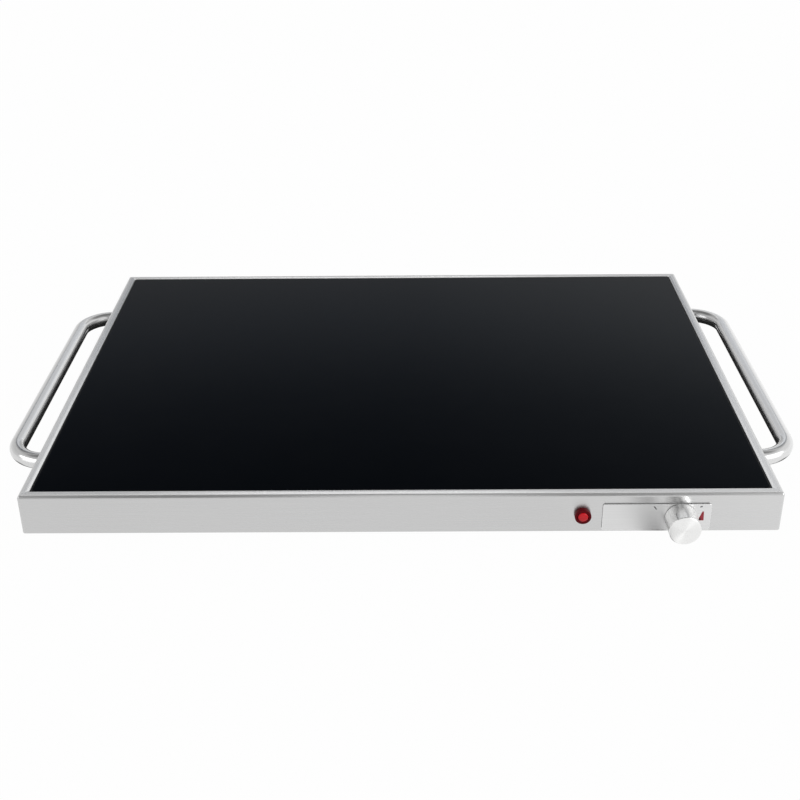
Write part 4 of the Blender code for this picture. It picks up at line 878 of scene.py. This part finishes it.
def build_controls():
    plate = slab(
        PLATE_WIDTH / 2, PLATE_HEIGHT / 2, PLATE_CORNER, PLATE_BACK, PLATE_FRONT, PLATE_EDGE
    )
    mesh = as_mesh(moved(plate, on_front(PLATE_X, PLATE_Z)), PLATE_STEEL)
    bush = rod(BUSH_RADIUS + SEAT_GAP, -PLATE_FRONT, 2 * PLATE_FRONT)
    mesh = cut_away(mesh, moved(bush, on_front(KNOB_X, KNOB_Z)))
    mesh.materials.append(BRIGHT_EDGE)
    for polygon in mesh.polygons:
        if FACING_FRONT < polygon.normal.y < FACING_SIDE:
            polygon.material_index = len(mesh.materials) - 1
    show("dial_plate", mesh, "control_plate", even=True)
    printed("low_mark", LOW_MARK, BLACK_INK)
    printed("high_mark", HIGH_MARK, GREY_INK)
    printed("heat_wedge", HEAT_WEDGE, RED_INK)
    printed("heat_spot", HEAT_SPOT, BLACK_INK, THICK_INK)
    build_knob()
    build_lamp()


def build_knob():
    face = [(KNOB_RADIUS * reach, KNOB_FRONT - KNOB_DISH * depth) for reach, depth in KNOB_FACE]
    edge_centre = (KNOB_RADIUS - KNOB_EDGE, KNOB_FRONT - KNOB_EDGE)
    edge = arc(edge_centre, KNOB_EDGE, 1, 0, EDGE_STEPS)
    back_centre = (KNOB_RADIUS - SEAT_GAP, KNOB_BACK + SEAT_GAP)
    back = arc(back_centre, SEAT_GAP, 0, -1, KNOB_BACK_STEPS)
    inside = [
        (KNOB_ROOM, KNOB_BACK), (KNOB_ROOM, KNOB_RECESS), (SPINDLE_BORE, KNOB_RECESS),
        (SPINDLE_BORE, SPINDLE_END), (0, SPINDLE_END),
    ]
    mesh = as_mesh(turned(face + edge + back + inside, FINE_STEPS), SPUN)
    grub = moved(rod(GRUB_HOLE, 0, KNOB_RADIUS + SHEET), Matrix.Rotation(QUARTER_TURN, 4, "X"))
    mesh = cut_away(mesh, moved(grub, Matrix.Translation((0, 0, GRUB_DISTANCE))))
    pointer = block(
        (POINTER_WIDTH, 2 * POINTER_DEPTH, POINTER_LENGTH),
        (0, KNOB_RADIUS, KNOB_FRONT - POINTER_LENGTH / 2 + SEAT_GAP),
    )
    moved(pointer, Matrix.Rotation(POINTER_ANGLE, 4, "Z"))
    mesh = cut_away(mesh, pointer, DARK_FILL)
    mesh.transform(on_front(KNOB_X, KNOB_Z))
    show("dial_knob", mesh, "control_knob", "knob", even=True)


def build_lamp():
    top = LAMP_BEZEL_FRONT
    edge_centre = (LAMP_BEZEL_RADIUS - LAMP_BEZEL_EDGE, top - LAMP_BEZEL_EDGE)
    edge = arc(edge_centre, LAMP_BEZEL_EDGE, 1, 0, LAMP_EDGE_STEPS)
    inner = LAMP_LENS_RADIUS + SEAT_GAP
    profile = [(inner, top - SEAT_GAP), (inner + SEAT_GAP, top)] + edge + [
        (LAMP_BEZEL_RADIUS, SEAT_GAP), (LAMP_BARREL_RADIUS, SEAT_GAP),
        (LAMP_BARREL_RADIUS, LAMP_BARREL_BACK), (LAMP_STEM_RADIUS + SEAT_GAP, LAMP_BARREL_BACK),
        (LAMP_STEM_RADIUS + SEAT_GAP, SEAT_GAP), (inner, SEAT_GAP),
    ]
    mesh = as_mesh(moved(turned(profile, ring=True), on_front(LAMP_X, LAMP_Z)), LAMP_RED)
    show("lamp_ring", mesh, "pilot_lamp_bezel")
    rise = LAMP_LENS_CROWN - LAMP_LENS_SHOULDER
    dome = [(0, LAMP_LENS_CROWN)]
    for step in range(1, DOME_STEPS + 1):
        angle = step / DOME_STEPS * QUARTER_TURN
        dome.append((LAMP_LENS_RADIUS * sin(angle), LAMP_LENS_SHOULDER + rise * cos(angle)))
    stem = [
        (LAMP_LENS_RADIUS, 2 * SEAT_GAP), (LAMP_STEM_RADIUS, 2 * SEAT_GAP),
        (LAMP_STEM_RADIUS, LAMP_STEM_BACK), (0, LAMP_STEM_BACK),
    ]
    mesh = as_mesh(moved(turned(dome + stem), on_front(LAMP_X, LAMP_Z)), LENS)
    show("lamp_dome", mesh, "pilot_lamp_lens")


def build_underside():
    top = BASE_BOTTOM - SEAT_GAP
    bottom = -FOOT_STANDOFF
    tread = FOOT_RADIUS - FOOT_TAPER
    profile = [(FOOT_RADIUS - SEAT_GAP, top), (FOOT_RADIUS, top - SEAT_GAP)]
    profile += arc((tread - FOOT_EDGE, bottom + FOOT_EDGE), FOOT_EDGE, 0, -1, EDGE_STEPS)
    profile += [
        (FOOT_RECESS_RADIUS + SEAT_GAP, bottom), (FOOT_RECESS_RADIUS, bottom + SEAT_GAP),
        (FOOT_RECESS_RADIUS, bottom + FOOT_RECESS_DEPTH), (FOOT_HOLE, bottom + FOOT_RECESS_DEPTH),
        (FOOT_HOLE, top),
    ]
    foot = as_mesh(turned(profile, ring=True), FOOT_RUBBER)
    seat = bottom + FOOT_RECESS_DEPTH - SEAT_GAP
    foot_screw = screw(
        FOOT_SCREW_RADIUS, FOOT_SCREW_POINT - seat, FOOT_SCREW_HEAD, FOOT_SCREW_HEAD_HEIGHT
    )
    for end, side_y in (("front", -1), ("back", 1)):
        for hand, side_x in (("left", -1), ("right", 1)):
            corner = f"{end}_{hand}"
            place = (side_x * FOOT_X, side_y * FOOT_Y)
            show("pad_" + corner, placed(foot, on_tray(*place)), "foot_" + corner)
            fixing = placed(foot_screw, on_tray(*place, seat))
            show("pad_screw_" + corner, fixing, "foot_screw_" + corner)
    base_screw = screw(
        BASE_SCREW_RADIUS, BASE_SCREW_POINT - top, BASE_SCREW_HEAD, BASE_SCREW_HEAD_HEIGHT
    )
    for number, place in enumerate(BASE_SCREW_PLACES, 1):
        fixing = placed(base_screw, on_tray(*place, top))
        show(f"plate_screw_{number}", fixing, f"base_screw_{number}")


def build_gland():
    """The cord gland, with grip ribs round its cap."""
    def ribbed(radius, height, angle):
        if radius < GLAND_CAP - GLAND_EDGE / 2 or height < GLAND_FLANGE_END + SEAT_GAP:
            return radius
        if height > GLAND_END - GLAND_EDGE / 2 or radius > GLAND_CAP + SEAT_GAP:
            return radius
        return radius - GLAND_RIB_DEPTH * (0.5 - 0.5 * cos(GLAND_RIBS * angle))

    cap_centre = (GLAND_CAP - GLAND_EDGE, GLAND_END - GLAND_EDGE)
    cap = arc(cap_centre, GLAND_EDGE, 1, 0, EDGE_STEPS)
    inner_end = SEAT_GAP - GLAND_BARREL_LENGTH
    profile = [(GLAND_BORE + SEAT_GAP, GLAND_END)] + cap + [
        (GLAND_CAP, GLAND_FLANGE_END + 2 * SEAT_GAP),
        (GLAND_CAP - GLAND_RIB_DEPTH, GLAND_FLANGE_END),
        (GLAND_FLANGE - SEAT_GAP, GLAND_FLANGE_END), (GLAND_FLANGE, GLAND_FLANGE_END - SEAT_GAP),
        (GLAND_FLANGE, SEAT_GAP), (GLAND_BARREL, SEAT_GAP), (GLAND_BARREL, inner_end),
        (GLAND_BORE, inner_end), (GLAND_BORE, GLAND_END - SEAT_GAP),
    ]
    shape = turned(profile, RIB_STEPS * GLAND_RIBS, ring=True, radius_at=ribbed)
    mesh = as_mesh(moved(shape, on_back(GLAND_X, GLAND_Z)), BLACK_PLASTIC)
    show("cord_entry_gland", mesh, "cord_gland")


build_frame()
build_glass()
build_handles()
build_controls()
build_underside()
build_gland()

# Finishes of the CAD nodes that are shown as they are
NODE_FINISHES = (
    (GALVANISED, ("base_plate", "heat_shield_tray", "bulb_clip")),
    (ALUMINIUM, ("heat_spreader",)),
    (MICA, ("heating_element",)),
    (WOOL, ("insulation_blanket",)),
    (CERAMIC, ("terminal_block", "thermostat_body")),
    (PHENOLIC, ("thermal_cutout",)),
    (BRASS, ("thermostat_spindle",)),
    (COPPER, ("sensing_bulb", "capillary_tube")),
    (SOFT_BLACK, ("lead_grommet",)),
    (BLACK_PLASTIC, ("gland_nut", "pilot_lamp_nut", "pilot_lamp_holder")),
    (ZINC, (
        "thermostat_nut", "earth_stud", "knob_grub_screw", "left_handle_bolt_front",
        "left_handle_bolt_back", "right_handle_bolt_front", "right_handle_bolt_back",
        "shield_screw_1", "shield_screw_2", "shield_screw_3", "shield_screw_4",
    )),
    (BROWN_WIRE, ("live_wire", "cutout_wire", "element_live_wire", "lamp_live_wire")),
    (BLUE_WIRE, ("element_neutral_wire", "lamp_neutral_wire")),
    (GREEN_WIRE, ("earth_wire",)),
)
for finish, node_names in NODE_FINISHES:
    for node_name in node_names:
        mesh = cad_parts[node_name].data
        mesh.materials.clear()
        mesh.materials.append(finish)


# The floor's own white, and the painted shade on it that only metal and glass see
FLOOR_REACH = 9.0
FLOOR_GAP = 0.0002
FLOOR_TONE = 0.90
FLOOR_WHITE = 1.0
FLOOR_SHOWN_SHARE = 0.98
FLOOR_MIRRORED = 0.97
FLOOR_MIRRORED_RIGHT = 1.10
MIRRORED_CHANGE_X = (0.12, 0.34)
FLOOR_SHADED = 0.02
# Painted shade under the tray and its handles, seen only in metal and glass
SHADOW_HALF_WIDTH = 0.345
SHADOW_FRONT = -0.134
SHADOW_BACK = 0.186
SHADOW_FADE = 0.015
# A glossy depth above this is a reflection after the first. Such a one shows only the floor
# ahead of the tray, and more brightly: painted light there, and painted shade elsewhere.
AFTER_FIRST = 1.5
LATER_SHARE = 1.5
LATER_FADE_Y = (-0.27, -0.24)
# The knob's soft shade, painted on the floor and seen in the metal to its left
KNOB_SHADE = 0.72
KNOB_SHADE_LEFT_X = (0.188, 0.206)
KNOB_SHADE_RIGHT_X = (0.210, 0.215)
KNOB_SHADE_AHEAD_Y = (-0.305, -0.290)


def painted_shade_box(tree, position):
    """Painted shade: 1 under the tray and its handles, and 0 further out, with a soft edge."""
    parts = node(tree, "ShaderNodeSeparateXYZ")
    tree.links.new(position, parts.inputs[0])
    across = maths(tree, "ABSOLUTE", parts.outputs["X"])
    inner_x = spread(tree, across, 1, 0, SHADOW_HALF_WIDTH, SHADOW_HALF_WIDTH + SHADOW_FADE)
    along = parts.outputs["Y"]
    inner_y = maths(
        tree, "MULTIPLY", spread(tree, along, 0, 1, SHADOW_FRONT, SHADOW_FRONT + SHADOW_FADE),
        spread(tree, along, 1, 0, SHADOW_BACK, SHADOW_BACK + SHADOW_FADE),
    )
    return maths(tree, "MULTIPLY", inner_x, inner_y)


def floor_white(tree, path):
    """The floor's own white, less the painted shade that metal and glass see."""
    place = node(tree, "ShaderNodeNewGeometry").outputs["Position"]
    parts = node(tree, "ShaderNodeSeparateXYZ")
    tree.links.new(place, parts.inputs[0])
    x = parts.outputs["X"]
    y = parts.outputs["Y"]
    clear = spread(tree, x, FLOOR_MIRRORED, FLOOR_MIRRORED_RIGHT, *MIRRORED_CHANGE_X)
    kept = maths(tree, "SUBTRACT", 1.0, painted_shade_box(tree, place))
    in_front = spread(tree, y, LATER_SHARE, 0, *LATER_FADE_Y)
    later = maths(tree, "GREATER_THAN", path.outputs["Glossy Depth"], AFTER_FIRST)
    again = maths(tree, "MULTIPLY", later, in_front)
    either = maths(tree, "ADD", maths(tree, "SUBTRACT", 1.0, later), again)
    seen = maths(tree, "MULTIPLY", maths(tree, "MULTIPLY", clear, kept), either)
    # Painted shade of the knob on the floor, which only metal and glass see
    rising = spread(tree, x, 0, KNOB_SHADE, *KNOB_SHADE_LEFT_X)
    falling = spread(tree, x, 1, 0, *KNOB_SHADE_RIGHT_X)
    near_knob = maths(tree, "SUBTRACT", 1.0, maths(tree, "MULTIPLY", rising, falling))
    further = spread(tree, y, 1, 0, *KNOB_SHADE_AHEAD_Y)
    near_knob = maths(tree, "MAXIMUM", near_knob, further)
    seen = maths(tree, "MULTIPLY", seen, maths(tree, "MAXIMUM", near_knob, later))
    shade = maths(tree, "MAXIMUM", seen, FLOOR_SHADED)
    difference = maths(tree, "SUBTRACT", FLOOR_WHITE, shade)
    lost = maths(tree, "MULTIPLY", path.outputs["Is Glossy Ray"], difference)
    return maths(tree, "SUBTRACT", FLOOR_WHITE, lost)


def shown_share(tree, path):
    """How much of the floor's own white is seen, in full in metal and glass."""
    seen = maths(tree, "MULTIPLY", path.outputs["Is Camera Ray"], FLOOR_SHOWN_SHARE)
    mirrored = maths(
        tree, "MAXIMUM", path.outputs["Is Glossy Ray"], path.outputs["Is Transmission Ray"]
    )
    return maths(tree, "MAXIMUM", seen, mirrored)


def build_floor():
    """A pale studio floor that keeps a soft shadow."""
    material, tree = new_material("studio_floor")[:2]
    tree.nodes.clear()
    plain = node(tree, "ShaderNodeBsdfDiffuse")
    set_inputs(plain, Color=(*triple(FLOOR_TONE), 1))
    path = node(tree, "ShaderNodeLightPath")
    glow = node(tree, "ShaderNodeEmission")
    tree.links.new(floor_white(tree, path), glow.inputs["Strength"])
    mix = node(tree, "ShaderNodeMixShader")
    tree.links.new(shown_share(tree, path), mix.inputs[0])
    tree.links.new(plain.outputs[0], mix.inputs[1])
    tree.links.new(glow.outputs[0], mix.inputs[2])
    out = node(tree, "ShaderNodeOutputMaterial")
    tree.links.new(mix.outputs[0], out.inputs["Surface"])
    shape = bmesh.new()
    corners = ((-1, -1), (1, -1), (1, 1), (-1, 1))
    shape.faces.new([
        shape.verts.new((x * FLOOR_REACH, y * FLOOR_REACH, -FLOOR_GAP)) for x, y in corners
    ])
    mesh = as_mesh(shape, material)
    mesh.name = "studio_floor"
    add_object("studio_floor", mesh)


# Brightness of the room by elevation, in degrees
BEHIND_HIGH = ((44, 0.60), (50, 0.60), (60, 0.25), (82, 0.20), (90, 0.25))
BEHIND = (
    (0, 0.6), (16, 0.55), (20, 0.50), (24, (0.34, 0.37, 0.42)), (28, (0.140, 0.157, 0.190)),
    (33, (0.055, 0.064, 0.076)), (38, 0.15), *BEHIND_HIGH,
)
BEHIND_RIGHT = (
    (0, 0.6), (16, 0.65), (20, 0.65), (24, (0.55, 0.58, 0.61)), (28, (0.26, 0.28, 0.31)),
    (33, (0.125, 0.140, 0.16)), (38, 0.25), *BEHIND_HIGH,
)
BESIDE = ((0, 1.0), (15, 0.9), (24, 0.8), (40, 0.8), (60, 0.75), (74, 0.6), (90, 0.5))
AHEAD = ((0, 0.12), (8, 0.10), (36, 0.10), (50, 0.28), (64, 0.32), (78, 0.30), (90, 0.25))
STRIP = ((0, 1.0), (55, 1.0), (75, 0.3), (90, 0.0))
STRIP_TONE = 1.1
LEFT_TONE = 0.86
RIGHT_TONE = 1.16
# Where one part of the room gives way to the next, by X or Y of the direction
TONE_CHANGE_X = (-0.35, 0.35)
BEHIND_CHANGE_X = (0.0, 0.28)
AHEAD_RIGHT_X = (0.225, 0.255)
AHEAD_LEFT_X = (-0.30, -0.27)
BEHIND_START_Y = (-0.35, 0.15)
STRIP_EDGE_X = (0.05, 0.12)
STRIP_END_Y = (-0.2, 0.1)
# The sides start at this slant, sideways against upwards
SIDE_SLANT = (0.72, 0.96)
LEAST_HEIGHT = 0.0003

# Each lamp's place, the point it faces, its size and power, and the pieces it lights
ORIGIN = (0, 0, 0)
LEFT_LEG = (-0.325, -0.150, 0.022)
RIGHT_LEG = (0.325, -0.150, 0.022)
CONTROLS = ("frame_skin", "dial_plate", "dial_knob", "lamp_ring", "lamp_dome")
LAMPS = (
    ("back_panel", (0, 4.65, 3.8), ORIGIN, (2.2, 1.8), 10.5, "frame_skin"),
    ("left_panel", (-2.1, 4.9, 3.5), ORIGIN, (2.0, 2.2), 6.2, "frame_skin"),
    ("right_panel", (2.1, 4.9, 3.5), ORIGIN, (2.0, 2.2), 7.7, "frame_skin"),
    ("handle_panel", (0, 5.0, 3.4), ORIGIN, (4.3, 2.1), 18, "left_bar", "right_bar", "dial_knob"),
    ("high_panel", (0, 2.6, 5.4), ORIGIN, (6.0, 3.0), 50, "frame_skin"),
    ("wedge_light", (0.73, -0.85, 0.10), (KNOB_X, FRONT_Y, 0.024), (0.25, 0.20), 1.0, "dial_knob"),
    ("knob_panel", (KNOB_X, 3.0, 1.9), (KNOB_X, FRONT_Y, 0.03), (1.8, 1.2), 2.8, "dial_knob"),
    ("centre_panel", (-0.35, 4.65, 3.8), ORIGIN, (2.1, 1.8), 9.0, "frame_skin"),
    ("left_bar_high", (-0.430, -0.250, 0.124), LEFT_LEG, (0.30, 0.07), 0.110, "left_bar"),
    ("left_bar_low", (-0.430, -0.290, 0.060), LEFT_LEG, (0.30, 0.08), 0.050, "left_bar"),
    ("right_bar_high", (0.430, -0.250, 0.124), RIGHT_LEG, (0.30, 0.07), 0.110, "right_bar"),
    ("right_bar_low", (0.430, -0.290, 0.060), RIGHT_LEG, (0.30, 0.08), 0.050, "right_bar"),
    ("left_light", (-2.2, -1.4, 1.6), ORIGIN, (1.6, 1.6), 10, *CONTROLS),
    ("right_light", (2.2, -1.4, 1.6), ORIGIN, (1.6, 1.6), 22, *CONTROLS),
)


def brightness_ramp(tree, height, stops):
    """Brightness by elevation. A new ramp already has its first two stops."""
    ramp = node(tree, "ShaderNodeValToRGB")
    elements = ramp.color_ramp.elements
    for spot, (elevation, value) in enumerate(stops):
        place = sin(radians(elevation))
        element = elements[spot] if spot < len(elements) else elements.new(place)
        element.position = place
        element.color = (*triple(value), 1)
    tree.links.new(height, ramp.inputs["Fac"])
    return ramp.outputs["Color"]


def build_room():
    """Pale at the sides, dim ahead but for a bright strip, and banded behind the tray."""
    world = bpy.data.worlds.new("studio")
    world.use_nodes = True
    tree = world.node_tree
    tree.nodes.clear()
    ways = node(tree, "ShaderNodeSeparateXYZ")
    tree.links.new(node(tree, "ShaderNodeTexCoord").outputs["Generated"], ways.inputs[0])
    x = ways.outputs["X"]
    y = ways.outputs["Y"]
    height = ways.outputs["Z"]
    sideways = maths(tree, "ABSOLUTE", x)
    right_behind = brightness_ramp(tree, height, BEHIND_RIGHT)
    behind = brightness_ramp(tree, height, BEHIND)
    behind = blend(tree, spread(tree, x, 0, 1, *BEHIND_CHANGE_X), behind, right_behind)
    ahead = brightness_ramp(tree, height, AHEAD)
    beside = brightness_ramp(tree, height, BESIDE)
    ahead = blend(tree, spread(tree, x, 0, 1, *AHEAD_RIGHT_X), ahead, beside)
    ahead = blend(tree, spread(tree, x, 1, 0, *AHEAD_LEFT_X), ahead, beside)
    room = blend(tree, spread(tree, y, 0, 1, *BEHIND_START_Y), ahead, behind)
    slant = maths(tree, "DIVIDE", sideways, maths(tree, "MAXIMUM", height, LEAST_HEIGHT))
    room = blend(tree, spread(tree, slant, 0, 1, *SIDE_SLANT), room, beside)
    near = spread(tree, sideways, 1, 0, *STRIP_EDGE_X)
    strip = maths(tree, "MULTIPLY", near, brightness_ramp(tree, height, STRIP))
    strip = maths(tree, "MULTIPLY", strip, spread(tree, y, 1, 0, *STRIP_END_Y))
    room = blend(tree, strip, room, STRIP_TONE)
    background = node(tree, "ShaderNodeBackground")
    # Seen directly, the room is plain white
    seen = node(tree, "ShaderNodeLightPath").outputs["Is Camera Ray"]
    room = blend(tree, seen, room, 1.0)
    tone = spread(tree, x, LEFT_TONE, RIGHT_TONE, *TONE_CHANGE_X)
    tree.links.new(maths(tree, "MAXIMUM", tone, seen), background.inputs["Strength"])
    tree.links.new(room, background.inputs["Color"])
    out = node(tree, "ShaderNodeOutputWorld")
    tree.links.new(background.outputs[0], out.inputs["Surface"])
    bpy.context.scene.world = world


def lamp(name, place, target, size, power, *pieces):
    """A soft rectangular lamp that faces a point and lights only some pieces."""
    light = bpy.data.lights.new(name, "AREA")
    light.shape = "RECTANGLE"
    light.size, light.size_y = size
    light.energy = power
    obj = add_object(name, light)
    turn = (Vector(target) - Vector(place)).to_track_quat("-Z", "Y")
    obj.matrix_world = Matrix.Translation(place) @ turn.to_matrix().to_4x4()
    obj.visible_camera = False
    lit = bpy.data.collections.new("lit_" + pieces[0])
    for piece in pieces:
        lit.objects.link(bpy.data.objects[piece])
    obj.light_linking.receiver_collection = lit


def build_camera():
    camera = bpy.data.cameras.new("camera")
    camera.sensor_width = SENSOR
    camera.lens = FOCAL_PIXELS / PICTURE_PIXELS * SENSOR
    camera.dof.use_dof = False
    obj = add_object("camera", camera)
    turn = Matrix.Rotation(CAMERA_YAW, 4, "Z") @ Matrix.Rotation(QUARTER_TURN - CAMERA_DIP, 4, "X")
    place = Matrix.Translation(CAMERA_PLACE) @ turn
    obj.matrix_world = place @ Matrix.Rotation(-CAMERA_ROLL, 4, "Z")
    bpy.context.scene.camera = obj


build_floor()
build_room()
for row in LAMPS:
    lamp(*row)
build_camera()
bpy.context.scene.view_settings.view_transform = "Standard"
